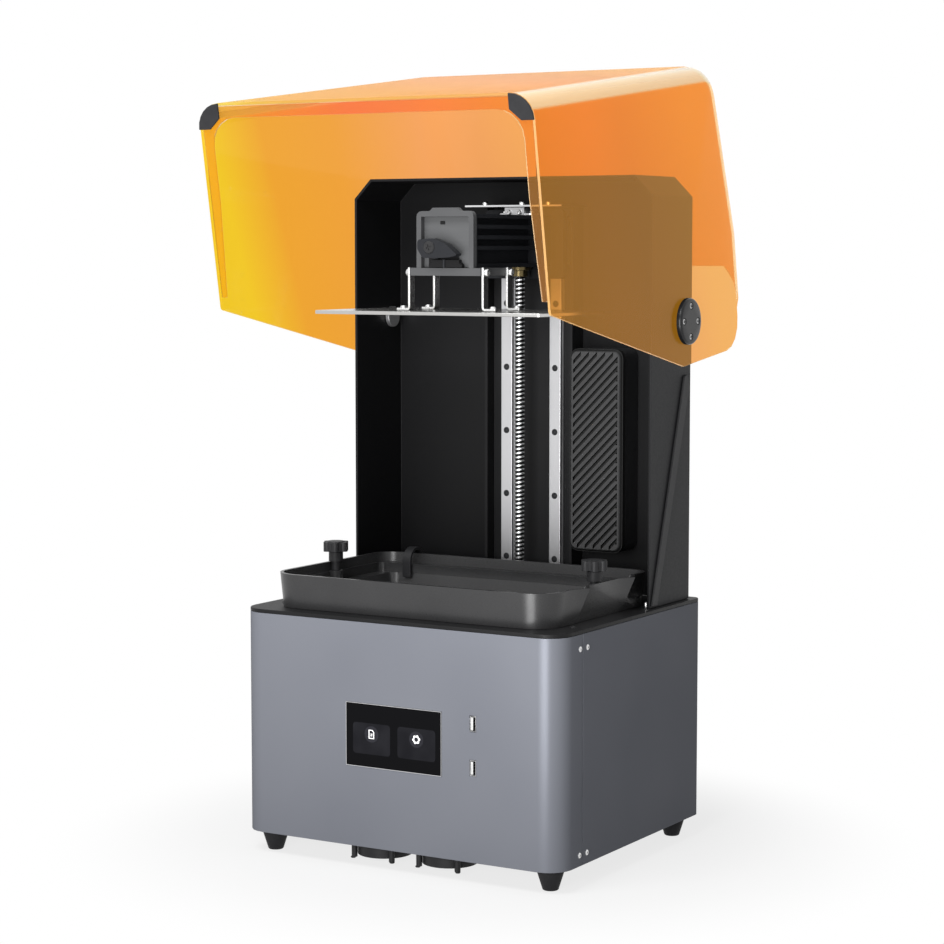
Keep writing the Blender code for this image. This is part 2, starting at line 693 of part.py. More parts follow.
def build_front_fittings(printer):
    """Display panel and sockets, each held by a flange behind the front cover."""
    middle = display_middle()
    behind = BASE_FRONT + COVER_WALL + SEAT_GAP
    face = prism(centred(middle, DISPLAY_WIDTH, DISPLAY_HEIGHT), "Y",
                 BASE_FRONT - SEAT_GAP, behind + OVERCUT)
    display = make("display_panel", face, "screen_glass", printer)
    ledge = centred(middle, DISPLAY_WIDTH + 2 * DISPLAY_LEDGE, DISPLAY_HEIGHT + 2 * DISPLAY_LEDGE)
    fuse(display, prism(ledge, "Y", behind, behind + DISPLAY_DEPTH))

    for level, middle in zip(("lower", "upper"), socket_middles()):
        shell = prism(centred(middle, SOCKET_WIDTH, SOCKET_HEIGHT), "Y",
                      BASE_FRONT + SEAT_GAP, BASE_FRONT + SOCKET_DEPTH)
        socket = make(f"usb_socket_{level}", shell, "bright_steel", printer)
        flange = centred(middle, SOCKET_WIDTH + 2 * SOCKET_FLANGE, SOCKET_HEIGHT + 2 * SOCKET_FLANGE)
        fuse(socket, prism(flange, "Y", behind, BASE_FRONT + SOCKET_DEPTH - OVERCUT))
        mouth = centred(middle, SOCKET_WIDTH - 2 * SOCKET_WALL, SOCKET_HEIGHT - 2 * SOCKET_WALL)
        cut(socket, prism(mouth, "Y", BASE_FRONT - OVERCUT, BASE_FRONT + SOCKET_DEPTH - 2 * OVERCUT))


def build_power_inlet(printer):
    """Appliance inlet with its rocker switch, in the rear cover."""
    x, z = inlet_middle()
    flange_front = BASE_REAR + SEAT_GAP
    flange_rear = flange_front + INLET_FLANGE_THICKNESS
    body = prism(centred((x, z), INLET_BODY_WIDTH, INLET_BODY_HEIGHT), "Y",
                 flange_front - INLET_BODY_DEPTH, flange_rear - OVERCUT)
    inlet = make("power_inlet", body, "black_plastic", printer)
    rim = centred((x, z), INLET_BODY_WIDTH + 2 * INLET_FLANGE, INLET_BODY_HEIGHT + 2 * INLET_FLANGE,
                  INLET_FLANGE_CORNER, 3)
    fuse(inlet, prism(rim, "Y", flange_front, flange_rear))
    plug_z = z - PLUG_BELOW_MIDDLE
    half = PLUG_WIDTH / 2
    corner = PLUG_HEIGHT / 3
    plug = filleted([(x - half, plug_z - PLUG_HEIGHT / 2, 0), (x + half, plug_z - PLUG_HEIGHT / 2, 0),
                     (x + half, plug_z + PLUG_HEIGHT / 2 - corner, 0),
                     (x + half - corner, plug_z + PLUG_HEIGHT / 2, 0),
                     (x - half + corner, plug_z + PLUG_HEIGHT / 2, 0),
                     (x - half, plug_z + PLUG_HEIGHT / 2 - corner, 0)])
    rocker_z = z + ROCKER_ABOVE_MIDDLE
    well = centred((x, rocker_z), ROCKER_WIDTH + 2 * RUN_GAP, ROCKER_HEIGHT + 2 * ROCKER_CLEARANCE)
    back = flange_rear + OVERCUT
    cut(inlet, prism(plug, "Y", flange_rear - PLUG_DEPTH, back),
        prism(well, "Y", flange_rear - PLUG_DEPTH / 2, back))

    half = ROCKER_HEIGHT / 2
    axle = BASE_REAR
    side_view = filleted([(axle - ROCKER_DEPTH, rocker_z - half + ROCKER_TAPER, 0),
                          (axle + ROCKER_PROUD, rocker_z - half, ROCKER_EDGE),
                          (axle + ROCKER_PROUD - ROCKER_DIP, rocker_z, 0),
                          (axle + ROCKER_PROUD, rocker_z + half, ROCKER_EDGE),
                          (axle - ROCKER_DEPTH, rocker_z + half - ROCKER_TAPER, 0)], 2)
    lever = prism(side_view, "X", x - ROCKER_WIDTH / 2, x + ROCKER_WIDTH / 2)
    rocker = make("power_rocker", lever, "black_plastic", printer, (x, axle, rocker_z))
    rocker.rotation_euler.x = math.radians(-ROCKER_TILT)


def build_fans(printer):
    """Two axial fans under the bottom plate, each a frame and a rotor."""
    radius = FAN_SIZE / 2
    bore = radius - FAN_BARREL_WALL
    top = UNDER_BOTTOM
    floor = top - FAN_BARREL_HEIGHT
    hub_low = floor + FAN_SPIDER_THICKNESS + RUN_GAP
    hub_high = top - OVERCUT
    for hand, (x, y) in zip(("left", "right"), fan_centres()):
        barrel = cylinder("Z", (x, y), radius, floor, top, 32)
        frame = make(f"fan_frame_{hand}", barrel, "black_plastic", printer)
        flange = centred((x, y), FAN_SIZE, FAN_SIZE, FAN_CORNER, 3)
        fuse(frame, prism(flange, "Z", top - FAN_FLANGE_THICKNESS, top))
        corners = [(x + across * FAN_POST_SPACING / 2, y + along * FAN_POST_SPACING / 2)
                   for across in (-1, 1) for along in (-1, 1)]
        fuse(frame, together([cylinder("Z", corner, FAN_POST_RADIUS, top - FAN_POST_DROP,
                                       top - OVERCUT, 12) for corner in corners]))
        cut(frame, cylinder("Z", (x, y), bore, floor - OVERCUT, top + OVERCUT, 32))
        spider = cylinder("Z", (x, y), FAN_HUB_RADIUS, floor, floor + FAN_SPIDER_THICKNESS)
        fuse(frame, spider)
        for spoke in range(FAN_SPOKES):
            bar = box((x + FAN_HUB_RADIUS - 2 * OVERCUT, y - FAN_SPOKE_WIDTH / 2, floor + FAN_SPOKE_RELIEF),
                      (x + bore + FAN_BARREL_WALL / 2, y + FAN_SPOKE_WIDTH / 2,
                       floor + FAN_SPIDER_THICKNESS - FAN_SPOKE_RELIEF))
            fuse(frame, turn(bar, 360 / FAN_SPOKES * spoke + 30, "Z", (x, y, 0)))

        hub = cylinder("Z", (x, y), FAN_HUB_RADIUS, hub_low, hub_high)
        rotor = make(f"fan_rotor_{hand}", hub, "black_plastic", printer, (x, y, floor))
        middle = (hub_low + hub_high) / 2
        for blade in range(FAN_BLADES):
            wing = box((x + FAN_HUB_RADIUS - FAN_BLADE_ROOT, y - FAN_BLADE_CHORD / 2,
                        middle - FAN_BLADE_THICKNESS / 2),
                       (x + bore - FAN_TIP_CLEARANCE, y + FAN_BLADE_CHORD / 2,
                        middle + FAN_BLADE_THICKNESS / 2))
            turn(wing, FAN_BLADE_PITCH, "X", (x, y, middle))
            fuse(rotor, turn(wing, 360 / FAN_BLADES * blade, "Z", (x, y, 0)))


def build_inside(printer):
    """Exposure screen, light housing and electronics inside the base."""
    glass = centred((0, SCREEN_Y), SCREEN_WIDTH, SCREEN_DEPTH)
    make("exposure_screen", prism(glass, "Z", DECK_BOTTOM, DECK_TOP), "screen_glass", printer)

    top = UNDER_DECK
    low = top - LIGHT_DEPTH
    mouth = centred((0, SCREEN_Y), SCREEN_WIDTH - 2 * LIGHT_LEDGE, SCREEN_DEPTH - 2 * LIGHT_LEDGE)
    outside = centred((0, SCREEN_Y), SCREEN_WIDTH, SCREEN_DEPTH)
    foot = centred((0, SCREEN_Y), LIGHT_FOOT_WIDTH, LIGHT_FOOT_DEPTH)
    inner_foot = centred((0, SCREEN_Y), LIGHT_FOOT_WIDTH - 2 * LIGHT_WALL, LIGHT_FOOT_DEPTH - 2 * LIGHT_WALL)
    housing = make("light_housing", loft(foot, outside, "Z", low, top), "dark_casting", printer)
    cut(housing, loft(inner_foot, mouth, "Z", low + LIGHT_WALL, top + OVERCUT))

    width, depth, thickness = BOARD_SIZE
    level = ON_BOTTOM + STANDOFF_HEIGHT
    x = -BASE_WIDTH / 2 + BOARD_FROM_SIDE
    y = BASE_REAR - BOARD_FROM_REAR
    board = make("mainboard", prism(centred((x, y), width, depth), "Z", level, level + thickness),
                 "circuit_board", printer)
    spread = width / 2 - STANDOFF_INSET
    reach = depth / 2 - STANDOFF_INSET
    legs = [cylinder("Z", (x + across * spread, y + along * reach), STANDOFF_RADIUS,
                     ON_BOTTOM, level + thickness / 2, 12) for across in (-1, 1) for along in (-1, 1)]
    fuse(board, together(legs))

    width, depth, height = SUPPLY_SIZE
    middle = (BASE_WIDTH / 2 - SUPPLY_FROM_SIDE, BASE_REAR - SUPPLY_FROM_REAR)
    case = prism(centred(middle, width, depth), "Z", ON_BOTTOM, ON_BOTTOM + height)
    make("power_supply", case, "silver_sheet", printer)


# Tower

def tower_outline(inset, bottom):
    """Front view of the tower, with its cut top corners, drawn in by an inset."""
    half = TOWER_WIDTH / 2 - inset
    top = TOWER_TOP_Z - inset
    across = TOWER_CHAMFER_X - inset / 2
    down = TOWER_CHAMFER_Z - inset / 2
    return [(-half, bottom), (half, bottom), (half, top - down), (half - across, top),
            (-half + across, top), (-half, top - down)]


def build_tower(printer):
    """Open-fronted tower shell with the slanted ribs that the hood closes over."""
    shell = prism(tower_outline(0, ON_DECK), "Y", TOWER_FRONT_Y, TOWER_REAR_Y)
    tower = make("tower_shell", shell, "black_paint", printer)
    cut(tower, prism(tower_outline(TOWER_WALL, ON_DECK - OVERCUT), "Y",
                     TOWER_FRONT_Y - OVERCUT, TOWER_BACK_INSIDE))
    half = TOWER_WIDTH / 2 + OVERCUT
    cut(tower, cylinder("X", (HINGE_Y, HINGE_Z), HINGE_PIN_RADIUS + RUN_GAP, -half, half))

    foot_z = ON_DECK + RIB_LIFT
    slant = [(RIB_FOOT_Y, foot_z), (RIB_FOOT_Y + RIB_WIDTH, foot_z),
             (RIB_HEAD_Y + RIB_WIDTH, RIB_HEAD_Z - RIB_HEAD_REAR), (RIB_HEAD_Y + RIB_WIDTH / 2, RIB_HEAD_Z),
             (RIB_HEAD_Y, RIB_HEAD_Z - RIB_HEAD_FRONT)]
    near = TOWER_WIDTH / 2 + SEAT_GAP
    far = hood_half_width(HINGE_Z) - HOOD_WALL - 2 * RUN_GAP
    make("hood_rib_right", prism(slant, "X", near, far), "black_paint", printer)
    make("hood_rib_left", prism(slant, "X", -far, -near), "black_paint", printer)


def build_column(printer):
    """Channel-shaped column, the two rails on its web and the bearing under its cap."""
    half = COLUMN_WIDTH / 2
    inner = half - COLUMN_WALL
    web_rear = COLUMN_WEB_FRONT + COLUMN_WALL
    plan = [(-half, COLUMN_FRONT_Y), (-inner, COLUMN_FRONT_Y), (-inner, COLUMN_WEB_FRONT),
            (inner, COLUMN_WEB_FRONT), (inner, COLUMN_FRONT_Y), (half, COLUMN_FRONT_Y),
            (half, ON_TOWER_BACK), (inner, ON_TOWER_BACK), (inner, web_rear), (-inner, web_rear),
            (-inner, ON_TOWER_BACK), (-half, ON_TOWER_BACK)]
    column = make("z_column", prism(plan, "Z", ON_DECK, CAP_BOTTOM + OVERCUT / 2), "black_paint", printer)
    cap = rectangle((-COLUMN_CAP_WIDTH / 2, COLUMN_CAP_FRONT_Y),
                    (COLUMN_CAP_WIDTH / 2, ON_TOWER_BACK - OVERCUT))
    fuse(column, prism(cap, "Z", CAP_BOTTOM, CAP_BOTTOM + COLUMN_CAP_THICKNESS))

    width = RAIL_WIDTH / 2
    neck = width - RAIL_GROOVE
    rear = RAIL_FRONT_Y + RAIL_HEIGHT
    land = RAIL_FRONT_Y + RAIL_LAND
    foot = land + RAIL_GROOVE_WIDTH
    for hand, x in (("left", -RAIL_SPACING / 2), ("right", RAIL_SPACING / 2)):
        section = [(x - width, RAIL_FRONT_Y), (x + width, RAIL_FRONT_Y), (x + width, land),
                   (x + neck, land + RAIL_GROOVE), (x + neck, foot - RAIL_GROOVE), (x + width, foot),
                   (x + width, rear), (x - width, rear), (x - width, foot),
                   (x - neck, foot - RAIL_GROOVE), (x - neck, land + RAIL_GROOVE), (x - width, land)]
        make(f"rail_{hand}", prism(section, "Z", ON_DECK + RAIL_LIFT, SCREW_TOP_Z), "bright_steel", printer)

    half = BEARING_WIDTH / 2
    block = box((-half, SCREW_Y - half, BEARING_BOTTOM), (half, SCREW_Y + half, BEARING_TOP))
    bearing = make("screw_bearing", block, "bright_steel", printer)
    cut(bearing, cylinder("Z", (0, SCREW_Y), SCREW_RADIUS + RUN_GAP, BEARING_BOTTOM - OVERCUT,
                          SCREW_TOP_Z + RUN_GAP))


def build_screw(printer):
    """Motor under the deck, coupler and lead screw."""
    half = MOTOR_WIDTH / 2
    flat = half - MOTOR_CHAMFER
    plan = [(-half, SCREW_Y - flat), (-flat, SCREW_Y - half), (flat, SCREW_Y - half), (half, SCREW_Y - flat),
            (half, SCREW_Y + flat), (flat, SCREW_Y + half), (-flat, SCREW_Y + half), (-half, SCREW_Y + flat)]
    case = prism(plan, "Z", UNDER_DECK - MOTOR_HEIGHT, UNDER_DECK)
    motor = make("screw_motor", case, "black_paint", printer)
    coupler_low = ON_DECK + COUPLER_LIFT
    coupler_high = coupler_low + COUPLER_LENGTH
    waist = (coupler_low + coupler_high) / 2
    fuse(motor, cylinder("Z", (0, SCREW_Y), SHAFT_RADIUS, UNDER_DECK - OVERCUT, waist - OVERCUT, 16))

    shaft_bore = SHAFT_RADIUS + SEAT_GAP
    screw_bore = SCREW_RADIUS + SEAT_GAP
    profile = [(COUPLER_RADIUS, coupler_high), (COUPLER_RADIUS, coupler_low), (shaft_bore, coupler_low),
               (shaft_bore, waist), (screw_bore, waist), (screw_bore, coupler_high)]
    axis = (0, SCREW_Y, 0)
    make("screw_coupler", turned(profile, "Z", (0, SCREW_Y), 24, ring=True), "bright_steel", printer, axis)
    make("lead_screw", cylinder("Z", (0, SCREW_Y), SCREW_RADIUS, waist + SEAT_GAP, SCREW_TOP_Z),
         "bright_steel", printer, axis)


def build_filter(printer):
    """Air filter: a housing on the tower's back and its cover with slanted grooves."""
    low = (FILTER_LEFT_X, FILTER_BOTTOM_Z)
    high = (FILTER_LEFT_X + FILTER_WIDTH, FILTER_BOTTOM_Z + FILTER_HEIGHT)
    outline = rectangle(low, high, FILTER_CORNER)
    cover_rear = FILTER_FRONT_Y + FILTER_COVER_DEPTH
    housing = prism(outline, "Y", cover_rear + SEAT_GAP, ON_TOWER_BACK)
    make("filter_housing", housing, "black_plastic", printer)

    inner = rectangle((low[0] + FILTER_CROWN, low[1] + FILTER_CROWN),
                      (high[0] - FILTER_CROWN, high[1] - FILTER_CROWN), FILTER_CORNER - FILTER_CROWN)
    shoulder = FILTER_FRONT_Y + FILTER_CROWN
    face = loft(inner, outline, "Y", FILTER_FRONT_Y, shoulder)
    cover = make("filter_cover", face, "black_plastic", printer)
    fuse(cover, prism(outline, "Y", shoulder - OVERCUT / 2, cover_rear))
    cut(cover, *filter_grooves())


def filter_grooves():
    """Grooves at 45 degrees, clipped to the cover's flat, each hooked down at its right end."""
    left = FILTER_LEFT_X + FILTER_MARGIN
    right = FILTER_LEFT_X + FILTER_WIDTH - FILTER_MARGIN
    bottom = FILTER_BOTTOM_Z + FILTER_MARGIN
    top = FILTER_BOTTOM_Z + FILTER_HEIGHT - FILTER_MARGIN
    step = FILTER_GROOVE_PITCH * math.sqrt(2)
    half = FILTER_GROOVE_WIDTH / math.sqrt(2)
    rise = right - left
    grooves = []
    height = bottom - rise + step
    while height < top - step / 2:
        start = max(left, left + bottom - height)
        end = min(right, left + top - height)
        floor = height + end - left - half
        outline = [(start, height + start - left - half)]
        if end == right:
            inner = end - FILTER_HOOK_WIDTH
            drop = floor - FILTER_HOOK_DROP
            outline += [(inner, floor - FILTER_HOOK_WIDTH), (inner, drop), (end, drop)]
        else:
            outline.append((end, floor))
        outline += [(end, height + end - left + half), (start, height + start - left + half)]
        grooves.append(prism(outline, "Y", FILTER_FRONT_Y - OVERCUT, FILTER_FRONT_Y + FILTER_GROOVE_DEPTH))
        height += step
    return grooves


# Carriage

def build_carriage(carriage):
    """Arm with its saddle, sliders and nut."""
    half = ARM_WIDTH / 2
    beam = box((-half, ARM_FRONT_Y, ARM_BOTTOM), (half, SADDLE_REAR_Y - OVERCUT, ARM_BOTTOM + ARM_HEIGHT))
    arm = make("carriage_arm", beam, "dark_casting", carriage)
    saddle = rectangle((-SADDLE_WIDTH / 2, SADDLE_BOTTOM), (SADDLE_WIDTH / 2, SADDLE_BOTTOM + SADDLE_HEIGHT),
                       SADDLE_CORNER, 3)
    fuse(arm, prism(saddle, "Y", SADDLE_REAR_Y - SADDLE_THICKNESS, SADDLE_REAR_Y))
    cut(arm, *arm_pockets())
    high = ARM_BOTTOM + ARM_HEIGHT + OVERCUT
    cut(arm, cylinder("Z", (0, SCREW_Y), SCREW_RADIUS + ARM_BORE_CLEARANCE, ARM_BOTTOM - OVERCUT, high))
    cut(arm, cylinder("Z", (0, SCREW_Y), NUT_FLANGE_RADIUS + SEAT_GAP, SADDLE_BOTTOM - OVERCUT,
                      ARM_BOTTOM + NUT_RECESS))
    notch = BEARING_WIDTH / 2 + BEARING_CLEARANCE
    cut(arm, box((-notch, SCREW_Y - notch, BEARING_BOTTOM - BEARING_CLEARANCE),
                 (notch, SCREW_Y + notch, BEARING_TOP + OVERCUT)))
    cut(arm, cylinder("Y", lever_axle(), LEVER_PIN_RADIUS + RUN_GAP, ARM_FRONT_Y - OVERCUT,
                      ARM_FRONT_Y + LEVER_PIN_DEPTH + OVERCUT, 16))

    inner = RAIL_WIDTH / 2 + RUN_GAP
    outer = SLIDER_WIDTH / 2
    groove = RAIL_FRONT_Y - RUN_GAP
    rear = groove + SLIDER_LEG
    middle = ARM_BOTTOM + ARM_HEIGHT / 2
    for hand, x in (("left", -RAIL_SPACING / 2), ("right", RAIL_SPACING / 2)):
        plan = [(x - outer, SLIDER_FRONT_Y), (x + outer, SLIDER_FRONT_Y), (x + outer, rear),
                (x + inner, rear), (x + inner, groove), (x - inner, groove), (x - inner, rear),
                (x - outer, rear)]
        block = prism(plan, "Z", middle - SLIDER_LENGTH / 2, middle + SLIDER_LENGTH / 2)
        make(f"slider_{hand}", block, "bright_steel", carriage)

    top = ARM_BOTTOM + NUT_RECESS - SEAT_GAP
    bore = SCREW_RADIUS + RUN_GAP
    profile = [(NUT_FLANGE_RADIUS, top), (NUT_FLANGE_RADIUS, top - NUT_FLANGE_HEIGHT),
               (NUT_RADIUS, top - NUT_FLANGE_HEIGHT), (NUT_RADIUS, top - NUT_HEIGHT),
               (bore, top - NUT_HEIGHT), (bore, top)]
    make("lead_nut", turned(profile, "Z", (0, SCREW_Y), 24, ring=True), "bright_steel", carriage)


def arm_pockets():
    """Long pockets in both sides of the arm, with the ribs left between them."""
    half = ARM_WIDTH / 2
    top = ARM_BOTTOM + ARM_HEIGHT - ARM_RIB
    pockets = []
    for side in (-1, 1):
        wall = sorted((side * (half - ARM_POCKET_DEPTH), side * (half + OVERCUT)))
        level = top
        for index in range(ARM_RIBS - 1):
            pockets.append(box((wall[0], ARM_FRONT_Y + ARM_RIB, level - ARM_RIB_GAP),
                               (wall[1], ARM_POCKET_REAR_Y, level)))
            level -= ARM_RIB_GAP + ARM_RIB
        pockets.append(box((wall[0], ARM_FRONT_Y + ARM_RIB, ARM_BOTTOM + ARM_RIB),
                           (wall[1], ARM_POCKET_REAR_Y, level)))
    return pockets


def build_platform(carriage):
    """Portal-shaped mount, its angle brackets and the build plate."""
    foot = box((-MOUNT_FOOT_WIDTH / 2, MOUNT_FOOT_FRONT_Y, MOUNT_FOOT_Z),
               (MOUNT_FOOT_WIDTH / 2, MOUNT_FOOT_REAR_Y, MOUNT_FOOT_TOP))
    mount = make("platform_mount", foot, "dark_casting", carriage)
    half = PORTAL_WIDTH / 2
    top = MOUNT_FOOT_Z + PORTAL_HEIGHT
    hump = PORTAL_HUMP_WIDTH / 2
    crest = top + PORTAL_HUMP_HEIGHT
    blend = PORTAL_HUMP_HEIGHT
    crown = PORTAL_HUMP_HEIGHT * 2 / 3
    portal = filleted([(-half, MOUNT_FOOT_Z + OVERCUT, 0), (half, MOUNT_FOOT_Z + OVERCUT, 0),
                       (half, top, PORTAL_CORNER), (hump, top, blend), (hump - blend, crest, crown),
                       (-hump + blend, crest, crown), (-hump, top, blend),
                       (-half, top, PORTAL_CORNER)], 3)
    fuse(mount, prism(portal, "Y", MOUNT_FOOT_FRONT_Y + PORTAL_STEP, MOUNT_FOOT_FRONT_Y + PORTAL_DEPTH))
    window = rectangle((-half + PORTAL_FRAME, MOUNT_FOOT_TOP), (half - PORTAL_FRAME, top - PORTAL_FRAME))
    cut(mount, prism(window, "Y", MOUNT_FOOT_FRONT_Y - OVERCUT, MOUNT_FOOT_FRONT_Y + PORTAL_DEPTH + OVERCUT))

    plate_low = PLATE_TOP_Z - PLATE_THICKNESS
    plan = centred((0, PLATE_Y), PLATE_WIDTH, PLATE_DEPTH, PLATE_CORNER, 4)
    make("build_plate", prism(plan, "Z", plate_low, PLATE_TOP_Z), "dark_casting", carriage)

    low = PLATE_TOP_Z + SEAT_GAP
    near = MOUNT_FOOT_WIDTH / 2 + SEAT_GAP
    rows = {"front": MOUNT_FOOT_FRONT_Y + BRACKET_EDGE,
            "rear": MOUNT_FOOT_REAR_Y - BRACKET_EDGE - BRACKET_WIDTH}
    for row, y in rows.items():
        for hand, side in (("left", -1), ("right", 1)):
            toe = near + BRACKET_FOOT
            skin = near + BRACKET_SHEET
            section = filleted([(side * near, low + BRACKET_RISE, 0), (side * near, low, BRACKET_BEND),
                                (side * toe, low, 0), (side * toe, low + BRACKET_SHEET, 0),
                                (side * skin, low + BRACKET_SHEET, BRACKET_BEND - BRACKET_SHEET),
                                (side * skin, low + BRACKET_RISE, 0)], 3)
            make(f"bracket_{row}_{hand}", prism(section, "Y", y, y + BRACKET_WIDTH), "silver_sheet", carriage)


def lever_axle():
    """Clamp lever's axle, as X and Z."""
    return (LEVER_X, MOUNT_FOOT_Z + LEVER_ABOVE_FOOT)


def build_clamp(carriage):
    """Clamp lever with its cam and pin, and the shoe that the cam presses down."""
    x, z = lever_axle()
    face = MOUNT_FOOT_FRONT_Y - LEVER_CLEARANCE
    front = face - LEVER_THICKNESS
    grip = filleted([(x + across, z + up, radius) for across, up, radius in LEVER_PROFILE], 3)
    lever = make("clamp_lever", prism(grip, "Y", front, face), "dark_casting", carriage, (x, face, z))
    pin_end = ARM_FRONT_Y + LEVER_PIN_DEPTH
    cam_rear = MOUNT_FOOT_FRONT_Y + PORTAL_DEPTH - SEAT_GAP
    fuse(lever, cylinder("Y", (x, z), LEVER_PIN_RADIUS, face - OVERCUT, pin_end, 16))
    fuse(lever, cylinder("Y", (x, z - CAM_OFFSET), CAM_RADIUS, face - OVERCUT / 2, cam_rear))

    low = MOUNT_FOOT_TOP + SEAT_GAP
    high = z - CAM_OFFSET - CAM_RADIUS - SHOE_CLEARANCE
    waist = (low + high) / 2
    half = SHOE_WIDTH / 2
    shoulder = half - SHOE_STEP
    bevel = SHOE_BEVEL / 2
    outline = [(-half, low), (half, low), (half, waist - bevel), (shoulder, waist + bevel), (shoulder, high),
               (-shoulder, high), (-shoulder, waist + bevel), (-half, waist - bevel)]
    shoe = prism(outline, "Y", MOUNT_FOOT_FRONT_Y + SHOE_CLEARANCE, cam_rear)
    make("clamp_shoe", shoe, "black_plastic", carriage, (0, MOUNT_FOOT_FRONT_Y, low))


# Vat

def vat_outline(inset):
    """Plan of the vat, drawn in by an inset."""
    half = VAT_WIDTH / 2 - inset
    front = VAT_FRONT + inset
    rear = VAT_REAR - inset
    front_radius = VAT_FRONT_RADIUS - inset
    rear_radius = VAT_REAR_RADIUS - inset
    return filleted([(-half, front, front_radius), (half, front, front_radius),
                     (half, rear, rear_radius), (-half, rear, rear_radius)], 6)


def pouring_lip(y, wall_x, reach, width, depth):
    """Wedge that swells the vat's side wall at the top and runs out downwards."""
    shape = bmesh.new()
    inside = wall_x - 2 * VAT_WALL
    top = [shape.verts.new(point) for point in
           ((inside, y - width / 2, VAT_TOP), (wall_x, y - width / 2, VAT_TOP), (wall_x + reach, y, VAT_TOP),
            (wall_x, y + width / 2, VAT_TOP), (inside, y + width / 2, VAT_TOP))]
    tip = shape.verts.new((wall_x - VAT_WALL, y, VAT_TOP - depth))
    shape.faces.new(top)
    for index, corner in enumerate(top):
        shape.faces.new((corner, top[(index + 1) % len(top)], tip))
    bmesh.ops.recalc_face_normals(shape, faces=shape.faces)
    return shape


def build_vat(printer):
    """Resin vat: tray, film frame and film."""
    tray = loft(vat_outline(VAT_DRAFT), vat_outline(0), "Z", ON_DECK, VAT_TOP)
    vat = make("vat_body", tray, "vat_black", printer)
    wall_x = VAT_WIDTH / 2
    fuse(vat, together([pouring_lip(y, wall_x, LIP_REACH, LIP_WIDTH, LIP_HEIGHT) for y in LIPS_Y]))

    floor = ON_DECK + VAT_FLOOR
    high = VAT_TOP + OVERCUT
    shelf = ON_DECK + VAT_SHELF_HEIGHT
    half = VAT_WIDTH / 2 - VAT_WALL - VAT_DRAFT
    inner_radius = VAT_FRONT_RADIUS - VAT_WALL - VAT_DRAFT
    front = VAT_FRONT + VAT_WALL + VAT_DRAFT
    rear = VAT_REAR - VAT_WALL - VAT_DRAFT - VAT_SHELF_DEPTH
    basin = filleted([(-half, front, inner_radius), (half, front, inner_radius),
                      (half, rear, VAT_SHELF_CORNER), (-half, rear, VAT_SHELF_CORNER)], 6)
    cut(vat, prism(basin, "Z", floor, high))
    slant = VAT_DRAFT * (high - shelf) / VAT_HEIGHT
    cut(vat, loft(vat_outline(VAT_WALL + slant), vat_outline(VAT_WALL), "Z", shelf, high))
    mouth = LIP_WIDTH - 2 * LIP_WALL
    cut(vat, *[pouring_lip(y, wall_x - LIP_WALL, LIP_REACH, mouth, VAT_TOP - floor) for y in LIPS_Y])
    for side in (-1, 1):
        fuse(vat, cylinder("Z", (side * KNOB_X, KNOB_Y), KNOB_BOSS_RADIUS, floor - OVERCUT,
                           ON_DECK + KNOB_BOSS_HEIGHT, 20))
    tank = centred((0, PLATE_Y), TANK_WIDTH, TANK_DEPTH, TANK_CORNER, 3)
    brim = centred((0, PLATE_Y), TANK_WIDTH + 2 * TANK_SLOPE, TANK_DEPTH + 2 * TANK_SLOPE,
                   TANK_CORNER + TANK_SLOPE, 3)
    cut(vat, loft(tank, brim, "Z", ON_DECK - OVERCUT, floor + OVERCUT))
    play = 2 * SEAT_GAP
    seat = centred((0, PLATE_Y), TANK_WIDTH + 2 * FILM_FRAME_WIDTH + play,
                   TANK_DEPTH + 2 * FILM_FRAME_WIDTH + play, FILM_FRAME_CORNER, 3)
    cut(vat, prism(seat, "Z", ON_DECK - OVERCUT, ON_DECK + FILM_FRAME_THICKNESS + SEAT_GAP))
    cut(vat, *[cylinder("Z", (side * KNOB_X, KNOB_Y), KNOB_STEM_RADIUS + RUN_GAP, ON_DECK - OVERCUT,
                        ON_DECK + KNOB_BOSS_HEIGHT + OVERCUT, 16) for side in (-1, 1)])

    ring = centred((0, PLATE_Y), TANK_WIDTH + 2 * FILM_FRAME_WIDTH, TANK_DEPTH + 2 * FILM_FRAME_WIDTH,
                   FILM_FRAME_CORNER, 3)
    frame = make("film_frame", prism(ring, "Z", ON_DECK, ON_DECK + FILM_FRAME_THICKNESS),
                 "silver_sheet", printer)
    cut(frame, prism(tank, "Z", ON_DECK - OVERCUT, ON_DECK + FILM_FRAME_THICKNESS + OVERCUT))
    sheet = centred((0, PLATE_Y), TANK_WIDTH - play, TANK_DEPTH - play, TANK_CORNER - SEAT_GAP, 3)
    make("release_film", prism(sheet, "Z", ON_DECK, ON_DECK + FILM_THICKNESS), "clear_film", printer)


